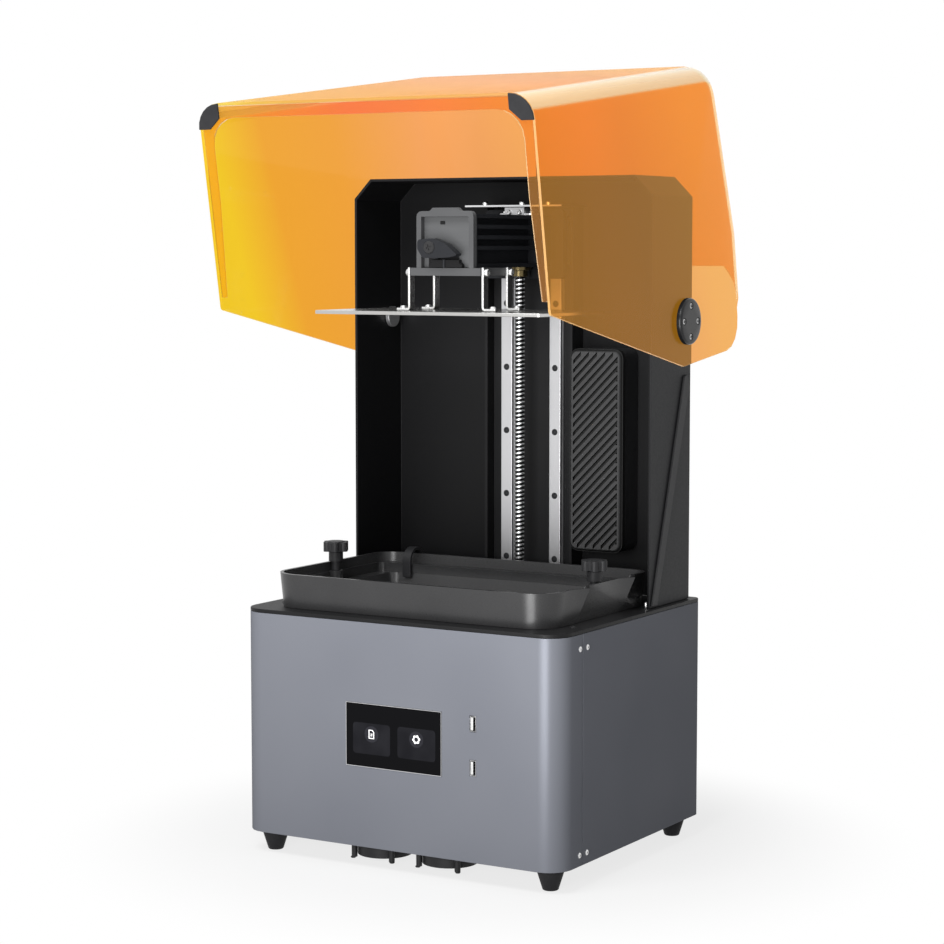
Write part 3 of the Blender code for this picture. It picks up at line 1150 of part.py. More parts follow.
def build_knobs(printer):
    """Thumbscrews that hold the vat down, with lobed heads."""
    seat = ON_DECK + KNOB_BOSS_HEIGHT + SEAT_GAP
    collar = VAT_TOP + KNOB_COLLAR_ABOVE_VAT
    head = collar + KNOB_COLLAR_HEIGHT
    top = head + KNOB_HEAD_HEIGHT
    crest = top + KNOB_CROWN
    foot = DECK_BOTTOM + SEAT_GAP
    ring = KNOB_HEAD_RADIUS - KNOB_LOBE_RADIUS
    profile = [(0, crest), (KNOB_CORE_RADIUS - KNOB_EDGE, crest), (KNOB_CORE_RADIUS, top - KNOB_EDGE / 2),
               (KNOB_CORE_RADIUS, head + KNOB_EDGE / 4), (KNOB_COLLAR_RADIUS, head - KNOB_EDGE / 2),
               (KNOB_COLLAR_RADIUS, collar), (KNOB_NECK_RADIUS, collar), (KNOB_NECK_RADIUS, seat),
               (KNOB_STEM_RADIUS, seat), (KNOB_STEM_RADIUS, foot), (0, foot)]
    for hand, x in (("left", -KNOB_X), ("right", KNOB_X)):
        core = turned(profile, "Z", (x, KNOB_Y))
        knob = make(f"vat_knob_{hand}", core, "black_plastic", printer, (x, KNOB_Y, seat))
        for lobe in range(KNOB_LOBES):
            angle = math.tau * lobe / KNOB_LOBES
            middle = (x + ring * math.cos(angle), KNOB_Y + ring * math.sin(angle))
            fuse(knob, cylinder("Z", middle, KNOB_LOBE_RADIUS, head, top, 12))


def build_hook(printer):
    """Feed hook: a bent band from the deck over the vat's rear wall."""
    rear = VAT_REAR + HOOK_BEHIND_VAT
    front = VAT_REAR - VAT_WALL - VAT_DRAFT - VAT_SHELF_DEPTH - HOOK_CLEARANCE - HOOK_SHEET
    top = DECK_TOP + HOOK_TOP
    tip = DECK_TOP + HOOK_TIP
    inner_bend = HOOK_BEND - HOOK_SHEET
    band = filleted([(rear, ON_DECK, 0), (rear, top, HOOK_BEND), (front, top, HOOK_BEND), (front, tip, 0),
                     (front + HOOK_SHEET, tip, 0), (front + HOOK_SHEET, top - HOOK_SHEET, inner_bend),
                     (rear - HOOK_SHEET, top - HOOK_SHEET, inner_bend), (rear - HOOK_SHEET, ON_DECK, 0)], 6)
    hook = prism(band, "X", HOOK_X - HOOK_WIDTH / 2, HOOK_X + HOOK_WIDTH / 2)
    make("feed_hook", hook, "black_plastic", printer)


# Hood

def hood_half_width(z):
    """Outside half width of the closed hood at a height: its side walls lean out towards the rim."""
    return TOWER_WIDTH / 2 + HOOD_SIDE_GAP + HOOD_WALL + HOOD_DRAFT * (TOWER_TOP_Z - z)


def hood_path():
    """Side view of the hood's front and top, from the rim up and back, as Y and Z."""
    return filleted([(HOOD_FRONT, RIM_Z, 0), (HOOD_FRONT + HOOD_FRONT_LEAN, HOOD_BROW_Z, HOOD_BROW_RADIUS),
                     (HOOD_SHOULDER_Y, HOOD_SHOULDER_Z, HOOD_SHOULDER_RADIUS),
                     (HOOD_TOP_REAR_Y, HOOD_SHOULDER_Z, 0)], HOOD_STEPS)


def hood_edge(inset):
    """Rounded edge between the hood's side and its top, as (distance from the side, drop from the top)."""
    radius = HOOD_EDGE_RADIUS - inset
    turns = [math.pi / 2 * step / HOOD_STEPS for step in range(HOOD_STEPS + 1)]
    return [(HOOD_EDGE_RADIUS - radius * math.cos(turn), inset + radius * (1 - math.sin(turn)))
            for turn in turns]


def hood_rows(inset):
    """Rows of points over the hood's right half, one row for each point of its path, from side to top."""
    path = [Vector(point) for point in hood_path()]
    last = len(path) - 1
    rows = []
    for index, point in enumerate(path):
        tangent = path[min(index + 1, last)] - path[max(index - 1, 0)]
        outward = Vector((-tangent.y, tangent.x)).normalized()
        row = []
        for inwards, drop in hood_edge(inset):
            y, z = point - outward * drop
            if index == 0:
                z = RIM_Z
            if index == last:
                y = HOOD_TOP_REAR_Y
            row.append((hood_half_width(z) - inwards, y, z))
        rows.append(row)
    return rows


def hood_horn(inset):
    """Rows that carry the rounded edge on behind the top panel, each one point shorter than the last."""
    edge = hood_edge(inset)
    rows = []
    for step in range(1, HOOD_STEPS + 1):
        y = HOOD_TOP_REAR_Y + HOOD_HORN_LENGTH * step / HOOD_STEPS
        rows.append([(hood_half_width(HOOD_SHOULDER_Z - drop) - inwards, y, HOOD_SHOULDER_Z - drop)
                     for inwards, drop in edge[:HOOD_STEPS + 1 - step]])
    return rows


def hood_side_rear():
    """Side wall's outline behind the top panel, from the horn's tip down to the toe, as Y and Z."""
    outline = filleted([(HOOD_HORN_Y, HOOD_SIDE_TOP_Z, 0), (HOOD_REAR_Y, HOOD_SIDE_TOP_Z, HOOD_REAR_RADIUS),
                        HOOD_HEEL_CORNER, (HOOD_TOE_CORNER_Y, RIM_Z, HOOD_TOE_RADIUS),
                        (HOOD_FRONT, RIM_Z, 0)], 4)
    return outline[1:-1]


def hood_skin(shape, inset, side):
    """One half of one skin: its rows over the front and top, and the outline of its side wall."""
    rows = [[shape.verts.new((side * x, y, z)) for x, y, z in row] for row in hood_rows(inset)]
    horn = [[shape.verts.new((side * x, y, z)) for x, y, z in row] for row in hood_horn(inset)]
    wall = [shape.verts.new((side * (hood_half_width(z) - inset), y, z)) for y, z in hood_side_rear()]
    for row, above in zip(rows + horn, rows[1:] + horn):
        for column in range(len(above) - 1):
            shape.faces.new((row[column], row[column + 1], above[column + 1], above[column]))
        if len(above) < len(row):
            shape.faces.new((row[len(above) - 1], row[len(above)], above[-1]))
    shape.faces.new([row[0] for row in rows + horn] + wall)
    slope = [rows[-1][-1]] + [row[-1] for row in horn]
    border = list(reversed(rows[0])) + list(reversed(wall)) + list(reversed(slope))
    return [row[-1] for row in rows], border


def hood_shell():
    """Hood as one sheet of even thickness: front, top and two side walls."""
    shape = bmesh.new()
    borders = {}
    for inset in (0, HOOD_WALL):
        middles = []
        for side in (1, -1):
            middle, borders[inset, side] = hood_skin(shape, inset, side)
            middles.append(middle)
        right, left = middles
        for index in range(len(right) - 1):
            shape.faces.new((right[index], left[index], left[index + 1], right[index + 1]))
    for side in (1, -1):
        outer = borders[0, side]
        inner = borders[HOOD_WALL, side]
        for index in range(len(outer) - 1):
            shape.faces.new((outer[index], outer[index + 1], inner[index + 1], inner[index]))
    for end in (0, -1):
        shape.faces.new((borders[0, 1][end], borders[0, -1][end], borders[HOOD_WALL, -1][end],
                         borders[HOOD_WALL, 1][end]))
    bmesh.ops.recalc_face_normals(shape, faces=shape.faces)
    return shape


def hinge_seat():
    """Distance from the middle to the back of a hinge disc, which touches the wall at its lower edge."""
    return hood_half_width(HINGE_Z - HINGE_DISC_RADIUS) + SEAT_GAP


def build_hood(hood):
    """Hood shell, rim flange, bumpers and hinge discs, all turning on the hinge axis."""
    shell = make("hood_shell", hood_shell(), "orange_acrylic", hood)
    reach = hood_half_width(RIM_Z) + OVERCUT
    cut(shell, cylinder("X", (HINGE_Y, HINGE_Z), HINGE_PIN_RADIUS + RUN_GAP, -reach, reach))

    play = 2 * SEAT_GAP
    outer = hood_half_width(RIM_Z + RIM_FLANGE_THICKNESS) - HOOD_WALL - RUN_GAP
    front = HOOD_FRONT + HOOD_WALL + play
    inner = outer - RIM_FLANGE_SIDE
    end = outer - RIM_FLANGE_END
    inner_front = front + RIM_FLANGE_FRONT
    bend = HOOD_EDGE_RADIUS - HOOD_WALL - RUN_GAP
    plan = filleted([(outer, RIM_FLANGE_REAR_Y, 0), (outer, front, bend), (-outer, front, bend),
                     (-outer, RIM_FLANGE_REAR_Y, 0), (-end, RIM_FLANGE_REAR_Y, 0),
                     (-inner, RIM_FLANGE_TAPER_Y, 0), (-inner, inner_front, RIM_FLANGE_INNER_RADIUS),
                     (inner, inner_front, RIM_FLANGE_INNER_RADIUS), (inner, RIM_FLANGE_TAPER_Y, 0),
                     (end, RIM_FLANGE_REAR_Y, 0)])
    make("hood_rim", prism(plan, "Z", RIM_Z, RIM_Z + RIM_FLANGE_THICKNESS), "orange_acrylic", hood)

    edge = hood_half_width(RIM_Z) - SEAT_GAP
    face = HOOD_FRONT + SEAT_GAP
    for hand, side in (("left", -1), ("right", 1)):
        leg = edge - BUMPER_LEG
        corner = filleted([(side * edge, face + BUMPER_LEG, 0),
                           (side * edge, face, HOOD_EDGE_RADIUS - SEAT_GAP), (side * leg, face, 0),
                           (side * leg, inner_front, 0), (side * inner, face + BUMPER_LEG, 0)], 6)
        make(f"hood_bumper_{hand}", prism(corner, "Z", BUMPER_Z, BUMPER_Z + BUMPER_THICKNESS), "rubber", hood)

    back = hinge_seat()
    crown = back + HINGE_DISC_THICKNESS
    bore = HINGE_PIN_RADIUS + RUN_GAP
    well = back + HINGE_PIN_REACH + RUN_GAP
    rim = HINGE_DISC_RADIUS
    disc = [(0, crown), (rim - HINGE_DISC_ROUND - HINGE_DISC_EDGE, crown),
            (rim - HINGE_DISC_EDGE, crown - HINGE_DISC_EDGE), (rim, crown - HINGE_DISC_ROUND), (rim, back),
            (bore, back), (bore, well), (0, well)]
    for hand, side in (("left", -1), ("right", 1)):
        profile = [(radius, side * along) for radius, along in disc]
        make(f"hinge_disc_{hand}", turned(profile, "X", (HINGE_Y, HINGE_Z), 32), "black_plastic", hood)


def build_hinge_pins(printer):
    """Hinge pins, held by their heads inside the tower's walls."""
    seat = TOWER_WIDTH / 2 - TOWER_WALL - SEAT_GAP
    end = seat - HINGE_PIN_HEAD
    tip = hinge_seat() + HINGE_PIN_REACH
    pin = [(0, end), (HINGE_PIN_HEAD_RADIUS, end), (HINGE_PIN_HEAD_RADIUS, seat), (HINGE_PIN_RADIUS, seat),
           (HINGE_PIN_RADIUS, tip), (0, tip)]
    for hand, side in (("left", -1), ("right", 1)):
        profile = [(radius, side * along) for radius, along in pin]
        make(f"hinge_pin_{hand}", turned(profile, "X", (HINGE_Y, HINGE_Z)), "bright_steel", printer)


def main():
    """Clear the scene and build every piece."""
    for item in list(bpy.data.objects):
        bpy.data.objects.remove(item, do_unlink=True)
    printer = pivot("printer", (0, 0, 0))
    build_covers(printer)
    build_plates(printer)
    build_feet(printer)
    build_front_fittings(printer)
    build_power_inlet(printer)
    build_fans(printer)
    build_inside(printer)
    build_tower(printer)
    build_column(printer)
    build_screw(printer)
    build_filter(printer)
    build_vat(printer)
    build_knobs(printer)
    build_hook(printer)
    build_hinge_pins(printer)
    carriage = pivot("carriage", (0, SCREW_Y, PLATE_TOP_Z), printer)
    build_carriage(carriage)
    build_platform(carriage)
    build_clamp(carriage)
    hood = pivot("hood", (0, HINGE_Y, HINGE_Z), printer)
    hood.rotation_euler.x = math.radians(-HOOD_OPEN_ANGLE)
    build_hood(hood)


main()
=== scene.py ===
# %% [markdown]
# # A resin printer with a flip-up hood
#
# This lesson dresses the solids of a desktop resin printer until they look like the real machine in a
# studio picture. The solids come in as a fixed frame, in metres, with the front towards -Y and the feet
# on Z = 0. They could be copied and reshaped here, but then the looks and the working model would drift
# apart. So every solid stays where it is, takes a finish and soft edges, and small new pieces are set on
# top of it. Only the lead screw and the two hinge discs give way to finer copies.

import json
import math

import bmesh
import bpy
from mathutils import Matrix, Vector

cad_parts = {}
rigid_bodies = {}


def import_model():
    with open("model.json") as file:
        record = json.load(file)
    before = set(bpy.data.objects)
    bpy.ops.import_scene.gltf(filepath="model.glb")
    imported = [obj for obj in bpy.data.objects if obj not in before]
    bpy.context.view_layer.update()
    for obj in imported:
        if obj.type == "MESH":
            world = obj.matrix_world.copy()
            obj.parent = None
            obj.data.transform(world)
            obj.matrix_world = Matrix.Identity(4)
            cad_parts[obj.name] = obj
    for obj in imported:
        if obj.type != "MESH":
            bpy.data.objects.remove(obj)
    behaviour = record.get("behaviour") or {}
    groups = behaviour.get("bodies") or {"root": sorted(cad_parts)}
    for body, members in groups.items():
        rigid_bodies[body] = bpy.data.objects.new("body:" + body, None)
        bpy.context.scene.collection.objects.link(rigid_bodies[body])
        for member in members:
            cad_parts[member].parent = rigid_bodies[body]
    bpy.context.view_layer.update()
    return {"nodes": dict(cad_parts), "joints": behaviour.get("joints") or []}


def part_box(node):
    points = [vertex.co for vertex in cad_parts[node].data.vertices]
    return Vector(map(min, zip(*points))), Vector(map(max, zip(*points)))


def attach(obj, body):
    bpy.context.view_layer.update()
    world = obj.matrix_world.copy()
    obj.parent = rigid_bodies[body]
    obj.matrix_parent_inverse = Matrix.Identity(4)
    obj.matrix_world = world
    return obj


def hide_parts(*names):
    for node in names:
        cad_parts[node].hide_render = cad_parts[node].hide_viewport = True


for leftover in list(bpy.data.objects):
    bpy.data.objects.remove(leftover)
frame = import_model()
solids = frame["nodes"]

# %% [markdown]
# ## The camera
#
# The picture was taken from the front right and slightly above, with a long lens, because the upright
# edges stay almost parallel. A camera could be aimed with a Track To constraint. Here its angles are
# written out, so that the frame never depends on what it looks at.

# %% Camera
CAMERA_SPOT = (1.1728, -1.9828, 0.5545)
CAMERA_AZIMUTH = 30.91
CAMERA_DROP = 5.164
CAMERA_LENS = 94.8
SENSOR_WIDTH = 36.0
studio_camera = bpy.data.cameras.new("studio_camera")
studio_camera.lens = CAMERA_LENS
studio_camera.sensor_width = SENSOR_WIDTH
camera = bpy.data.objects.new("studio_camera", studio_camera)
camera.location = CAMERA_SPOT
camera.rotation_euler = (math.radians(90 - CAMERA_DROP), 0, math.radians(CAMERA_AZIMUTH))
bpy.context.scene.collection.objects.link(camera)
bpy.context.scene.camera = camera
bpy.context.scene.view_settings.view_transform = "Standard"
print("camera", CAMERA_SPOT, "lens", CAMERA_LENS)

# %% [markdown]
# ## Nodes in one line
#
# The background, the floor and every finish are trees of nodes. Each node could be made and wired by
# hand, but that takes four lines a time and hides what the tree does. Two helpers make it one line: a
# socket takes a plain value, or a link where the value is another node's output.

# %% Node helpers
def feed(tree, socket, source):
    """Give a socket a fixed value, or a link if the source is another node's output."""
    if isinstance(source, bpy.types.NodeSocket):
        tree.links.new(source, socket)
    else:
        socket.default_value = source


def add_node(tree, kind, *sources, operation=None, **named):
    """New shader node, fed in the order of its sockets and then by the names of its sockets."""
    node = tree.nodes.new("ShaderNode" + kind)
    if operation:
        node.operation = operation
    for socket, source in zip(node.inputs, sources):
        feed(tree, socket, source)
    for name, source in named.items():
        feed(tree, node.inputs[name.replace("_", " ")], source)
    return node


print("node helpers ready")

# %% [markdown]
# ## Background, floor and lamps
#
# The machine stands on a white floor that fades into a white background. A photographer would light both
# until they burn out, and that light would spill on the machine. In a render they can be white for the
# eye alone: Light Path tells a camera, mirror or glass ray from a light ray, so only those rays see a
# white glow. Near the machine the glow is mixed with a share of the real floor, which keeps the shadow.

# %% Background
ROOM_LIGHT = 0.14
WHITE = (1.0, 1.0, 1.0, 1.0)


def seen_rays(tree):
    """1 for rays that end in the eye, a mirror or a glass, and 0 for rays that carry light."""
    path = add_node(tree, "LightPath").outputs
    eye = add_node(tree, "Math", path["Is Camera Ray"], path["Is Glossy Ray"], operation="MAXIMUM")
    seen = add_node(tree, "Math", eye.outputs[0], path["Is Transmission Ray"], operation="MAXIMUM")
    return seen.outputs[0]


studio_world = bpy.data.worlds.new("studio_world")
studio_world.use_nodes = True
bpy.context.scene.world = studio_world
world_tree = studio_world.node_tree
room = world_tree.nodes["Background"]
feed(world_tree, room.inputs["Color"], WHITE)
feed(world_tree, room.inputs["Strength"], ROOM_LIGHT)
backdrop = add_node(world_tree, "Background", Color=WHITE, Strength=1.0)
world_mix = add_node(world_tree, "MixShader", seen_rays(world_tree), room.outputs[0], backdrop.outputs[0])
feed(world_tree, world_tree.nodes["World Output"].inputs["Surface"], world_mix.outputs[0])
print("background white, room light", ROOM_LIGHT)

# %% Floor
FLOOR_RADIUS = 0.72
FLOOR_SIDES = 96
FLOOR_ROUGHNESS = 0.9
FLOOR_LIT = (0.12, 0.12, 0.12, 1.0)
FLOOR_SEEN = (0.92, 0.92, 0.92, 1.0)
SHADOW_SHARE = 0.22
SHADOW_FULL = 0.2
SHADOW_REACH = 0.42
floor_mesh = bpy.data.meshes.new("studio_floor")
floor_turns = [math.tau * step / FLOOR_SIDES for step in range(FLOOR_SIDES)]
floor_corners = [(FLOOR_RADIUS * math.cos(turn), FLOOR_RADIUS * math.sin(turn), 0) for turn in floor_turns]
floor_mesh.from_pydata(floor_corners, [], [range(FLOOR_SIDES)])
floor = bpy.data.objects.new("studio_floor", floor_mesh)
bpy.context.scene.collection.objects.link(floor)
white_floor = bpy.data.materials.new("white_floor")
white_floor.use_nodes = True
floor_tree = white_floor.node_tree
floor_paint = floor_tree.nodes["Principled BSDF"]
floor_tone = add_node(floor_tree, "MixRGB", seen_rays(floor_tree), FLOOR_LIT, FLOOR_SEEN)
feed(floor_tree, floor_paint.inputs["Base Color"], floor_tone.outputs[0])
feed(floor_tree, floor_paint.inputs["Roughness"], FLOOR_ROUGHNESS)
feed(floor_tree, floor_paint.inputs["Specular IOR Level"], 0.0)
floor_glow = add_node(floor_tree, "Emission", Strength=1.0)
floor_place = add_node(floor_tree, "TexCoord").outputs["Object"]
from_middle = add_node(floor_tree, "VectorMath", floor_place, operation="LENGTH").outputs["Value"]
glow_share = add_node(floor_tree, "MapRange", from_middle, SHADOW_FULL, SHADOW_REACH,
                      1.0 - SHADOW_SHARE, 1.0)
glow_share.interpolation_type = "SMOOTHSTEP"
floor_seen = add_node(floor_tree, "Math", seen_rays(floor_tree), glow_share.outputs[0], operation="MULTIPLY")
floor_mix = add_node(floor_tree, "MixShader", floor_seen.outputs[0], floor_paint.outputs[0],
                     floor_glow.outputs[0])
feed(floor_tree, floor_tree.nodes["Material Output"].inputs["Surface"], floor_mix.outputs[0])
floor_mesh.materials.append(white_floor)
print("floor", 2 * FLOOR_RADIUS, "m wide")

# %% [markdown]
# Light comes from two soft lamps. A tall strip stands low in front, a little to the right, and its
# mirror image falls on the rounded front corner, where the real machine has its bright band. A wide weak
# lamp hangs overhead. A lamp in front would also show through the clear hood from behind, so both are
# hidden from such rays.

# %% Lamps
LAMP_AIM = Vector((0.0, -0.05, 0.33))


def soft_lamp(name, spot, width, height, power):
    """Rectangular lamp at a spot, turned towards the middle of the machine."""
    light = bpy.data.lights.new(name, "AREA")
    light.shape = "RECTANGLE"
    light.size = width
    light.size_y = height
    light.energy = power
    lamp = bpy.data.objects.new(name, light)
    lamp.location = spot
    lamp.rotation_euler = (LAMP_AIM - Vector(spot)).to_track_quat("-Z", "Y").to_euler()
    lamp.visible_transmission = False
    bpy.context.scene.collection.objects.link(lamp)


soft_lamp("strip_lamp", spot=(0.40, -2.05, 0.10), width=0.95, height=1.7, power=48.0)
soft_lamp("overhead_lamp", spot=(-0.05, -0.95, 1.55), width=0.9, height=0.6, power=15.0)

# %% [markdown]
# ## How a finish is made
#
# Every surface on the machine has some grain: blasted metal, powder coat, moulded plastic, ground steel.
# An image of each could be wrapped on, but the solids have no unwrapped faces, and a picture has one
# fixed scale. Noise that lives in the piece's own space needs neither. A finish here has a fine skin,
# whose noise swings the roughness and raises a tiny bump, and often a broad mottle, whose noise swings
# the colour. Every number that stays the same all over is set on the shader itself.

# %% Finish helpers
GRAIN_LOW = 0.3
GRAIN_HIGH = 0.7
EVEN = (1.0, 1.0, 1.0)
finishes = {}


class Finish:
    """A material under way: the shader, and the noises that vary it."""

    def __init__(self, name, colour, roughness, metallic=0.0, **sockets):
        self.material = bpy.data.materials.new(name)
        self.material.use_nodes = True
        self.tree = self.material.node_tree
        self.shader = self.tree.nodes["Principled BSDF"]
        self.put(Base_Color=(*colour, 1.0), Roughness=roughness, Metallic=metallic, **sockets)
        self.place = self.node("TexCoord").outputs["Object"]
        finishes[name] = self.material

    def put(self, **sockets):
        """Set or link sockets of the shader."""
        for name, source in sockets.items():
            feed(self.tree, self.shader.inputs[name.replace("_", " ")], source)
        return self

    def node(self, kind, *sources, **named):
        """New node in this finish."""
        return add_node(self.tree, kind, *sources, **named)

    def span(self, value, low, high, start=0.0, end=1.0):
        """A value stretched so that low becomes start and high becomes end."""
        return self.node("MapRange", value, low, high, start, end).outputs[0]

    def ramp(self, share, stops):
        """Colour that a share takes between stops, each a share and a colour."""
        ramp = self.node("ValToRGB", share)
        elements = ramp.color_ramp.elements
        for number, (position, colour) in enumerate(stops):
            if number == len(elements):
                elements.new(1.0)
            elements[number].position = position
            elements[number].color = (*colour, 1.0)
        return ramp.outputs["Color"]

    def along(self, axis):
        """Distance along an axis of the frame."""
        return self.node("SeparateXYZ", self.place).outputs[axis]

    def grain(self, size, stretch=EVEN, detail=2.0):
        """Noise with features of this size in metres, drawn out along the axes where stretch is large."""
        mapping = self.node("Mapping", self.place, Scale=[1.0 / (size * factor) for factor in stretch])
        return self.node("TexNoise", mapping.outputs[0], Scale=1.0, Detail=detail).outputs["Fac"]

    def rough(self, grain, low, high):
        """Let a grain swing the roughness between two values."""
        return self.put(Roughness=self.span(grain, GRAIN_LOW, GRAIN_HIGH, low, high))

    def tint(self, grain, dark, light):
        """Let a grain swing the colour between two values."""
        return self.put(Base_Color=self.ramp(grain, ((GRAIN_LOW, dark), (GRAIN_HIGH, light))))

    def bump(self, grain, depth, strength):
        """Raise the surface by up to this depth in metres where the grain is high."""
        return self.put(Normal=self.node("Bump", Strength=strength, Distance=depth, Height=grain).outputs[0])

    def skin(self, size, rough, depth, strength=0.3, stretch=EVEN, detail=2.0):
        """Fine grain that swings the roughness and raises a bump."""
        grain = self.grain(size, stretch, detail)
        return self.rough(grain, *rough).bump(grain, depth, strength)

    def mottle(self, size, dark, light, detail=2.0):
        """Broad grain that swings the colour."""
        return self.tint(self.grain(size, detail=detail), dark, light)

    def colour_step(self, distance, start, end, before, after):
        """Change the colour where a distance runs from start to end."""
        return self.put(Base_Color=self.ramp(self.span(distance, start, end), ((0.0, before), (1.0, after))))


print("finish helpers ready")

# %% [markdown]
# ## Metal finishes
#
# The covers are bead-blasted and anodised aluminium: grey with a little blue, soft in its highlights,
# with a sparkle too fine to see from far off. The tower and the deck are powder-coated sheet, the vat is
# black anodised and the arm is a painted casting. All four are the same recipe with other grain sizes.

# %% Covers, sheet, castings
anodised = Finish("anodised_grey", (0.225, 0.235, 0.268), 0.32, 0.16, Specular_IOR_Level=0.0)
anodised.mottle(0.09, (0.217, 0.227, 0.260), (0.233, 0.243, 0.276), detail=1.0)
anodised.skin(0.00045, rough=(0.28, 0.36), depth=0.00001)

powder = Finish("black_metal", (0.009, 0.009, 0.0096), 0.5, Specular_IOR_Level=0.18)
powder.mottle(0.05, (0.008, 0.008, 0.0086), (0.0105, 0.0105, 0.0112), detail=1.0)
powder.skin(0.0011, rough=(0.44, 0.56), depth=0.00004, strength=0.4)

casting = Finish("dark_casting", (0.016, 0.017, 0.020), 0.46, 0.1, Specular_IOR_Level=0.22)
casting.mottle(0.012, (0.0145, 0.0155, 0.0185), (0.0175, 0.0185, 0.0215))
casting.skin(0.0008, rough=(0.38, 0.54), depth=0.00006, strength=0.5, detail=3.0)

vat_black = Finish("vat_metal", (0.028, 0.028, 0.029), 0.3, Specular_IOR_Level=0.5)
vat_black.mottle(0.04, (0.025, 0.025, 0.026), (0.031, 0.031, 0.032))
vat_black.skin(0.0006, rough=(0.25, 0.35), depth=0.00002)
print("metal finishes", sorted(finishes))

# %% [markdown]
# ## Bright metal
#
# Rails, screw and brackets are ground or plated steel. Grinding leaves fine lines along the piece. A
# bump alone would be too fine to see from here, so a noise drawn out along the length swings the
# roughness as well.

# %% Steel, sheet, brass
steel = Finish("bright_steel", (0.58, 0.58, 0.59), 0.34, 0.85)
steel.skin(0.0004, rough=(0.29, 0.39), depth=0.00001, stretch=(1.0, 1.0, 60.0))
sheet_metal = Finish("silver_sheet", (0.72, 0.72, 0.73), 0.3, 1.0)
sheet_metal.skin(0.0005, rough=(0.24, 0.38), depth=0.00001, stretch=(50.0, 1.0, 1.0))
plated = Finish("bracket_steel", (0.83, 0.83, 0.82), 0.3, 0.75)
plated.skin(0.0012, rough=(0.24, 0.36), depth=0.00001, detail=3.0)
brass = Finish("nut_brass", (0.16, 0.125, 0.06), 0.28, 1.0)
brass.skin(0.0003, rough=(0.2, 0.36), depth=0.00001, stretch=(30.0, 30.0, 1.0))
print("bright finishes ready")

# %% [markdown]
# ## Plastic, rubber and glass
#
# Moulded plastic carries the spark-eroded texture of its mould, rubber is duller and slightly uneven,
# and glass is smooth apart from a faint film of dust. The mainboard's lacquer has traces that run one
# way.

# %% Plastic, rubber, glass
moulded = Finish("black_plastic", (0.020, 0.020, 0.0215), 0.5, Specular_IOR_Level=0.25)
moulded.mottle(0.02, (0.018, 0.018, 0.0195), (0.0225, 0.0225, 0.024))
moulded.skin(0.0005, rough=(0.42, 0.56), depth=0.00003, strength=0.45, detail=3.0)

rubber = Finish("foot_rubber", (0.024, 0.024, 0.026), 0.66, Specular_IOR_Level=0.2)
rubber.mottle(0.01, (0.021, 0.021, 0.023), (0.028, 0.028, 0.030))
rubber.skin(0.0009, rough=(0.58, 0.74), depth=0.00005, strength=0.5, detail=3.0)

display_glass = Finish("display_black", (0.004, 0.004, 0.005), 0.1, Specular_IOR_Level=0.06)
display_glass.skin(0.006, rough=(0.07, 0.14), depth=0.000004, strength=0.2, detail=4.0)
exposure_glass = Finish("screen_glass", (0.006, 0.006, 0.008), 0.12)
exposure_glass.skin(0.02, rough=(0.08, 0.18), depth=0.000004, strength=0.2, stretch=(1.0, 3.0, 1.0),
                    detail=4.0)
film = Finish("clear_film", (0.80, 0.82, 0.84), 0.12, Transmission_Weight=0.85, IOR=1.34)
film.skin(0.01, rough=(0.06, 0.18), depth=0.00005)

board = Finish("circuit_board", (0.010, 0.090, 0.040), 0.45)
traces = board.grain(0.002, (4.0, 1.0, 1.0))
board.tint(traces, (0.008, 0.070, 0.032), (0.014, 0.115, 0.052)).bump(traces, 0.00003, 0.4)
print("plain finishes", len(finishes))

# %% [markdown]
# ## The hood's acrylic
#
# The hood is clear dyed acrylic. Light passes through both of its faces and takes the colour on the way,
# so transmission does the work. A ramp through the dye paints light and shade: paler yellow at the front
# left, deeper orange towards the rear right. Where the normal faces the bent shoulders, a pale cream
# colour and less transmission paint a sheen band, and a coat adds real gloss there. The flat top is
# frosted by its roughness. A little painted glow of its own stands for light that runs inside the sheet.

# %% Acrylic
PAINTED_LIGHT_RUN = (0.8, 1.0, 0.4)
PAINTED_LIGHT_START = -0.145
PAINTED_LIGHT_LENGTH = 0.65
SHEEN_FACING = (0.643, 0.0, 0.766)
SHEEN_START = 0.84
SHEEN_FULL = 0.90
PAINTED_SHEEN = (1.0, 0.83, 0.43)
WALL_CLEARNESS = 0.91
SHEEN_CLEARNESS = 0.62
BEND_COAT_IOR = 1.8
FROST_START = 0.93
FROST_FULL = 0.97
WALL_ROUGHNESS = 0.035
TOP_ROUGHNESS = 0.45
SHELL_DYE_AND_LIGHT = ((0.06, (0.73, 0.525, 0.024)), (0.12, (0.75, 0.535, 0.026)), (0.24, (0.72, 0.325, 0.038)),
             (0.42, (0.73, 0.31, 0.050)), (0.66, (0.78, 0.32, 0.125)), (0.76, (0.71, 0.305, 0.125)),
             (0.97, (0.77, 0.385, 0.115)))
RIM_DYE_AND_LIGHT = ((0.06, (0.86, 0.60, 0.04)), (0.30, (0.88, 0.34, 0.22)), (0.52, (0.82, 0.44, 0.12)))


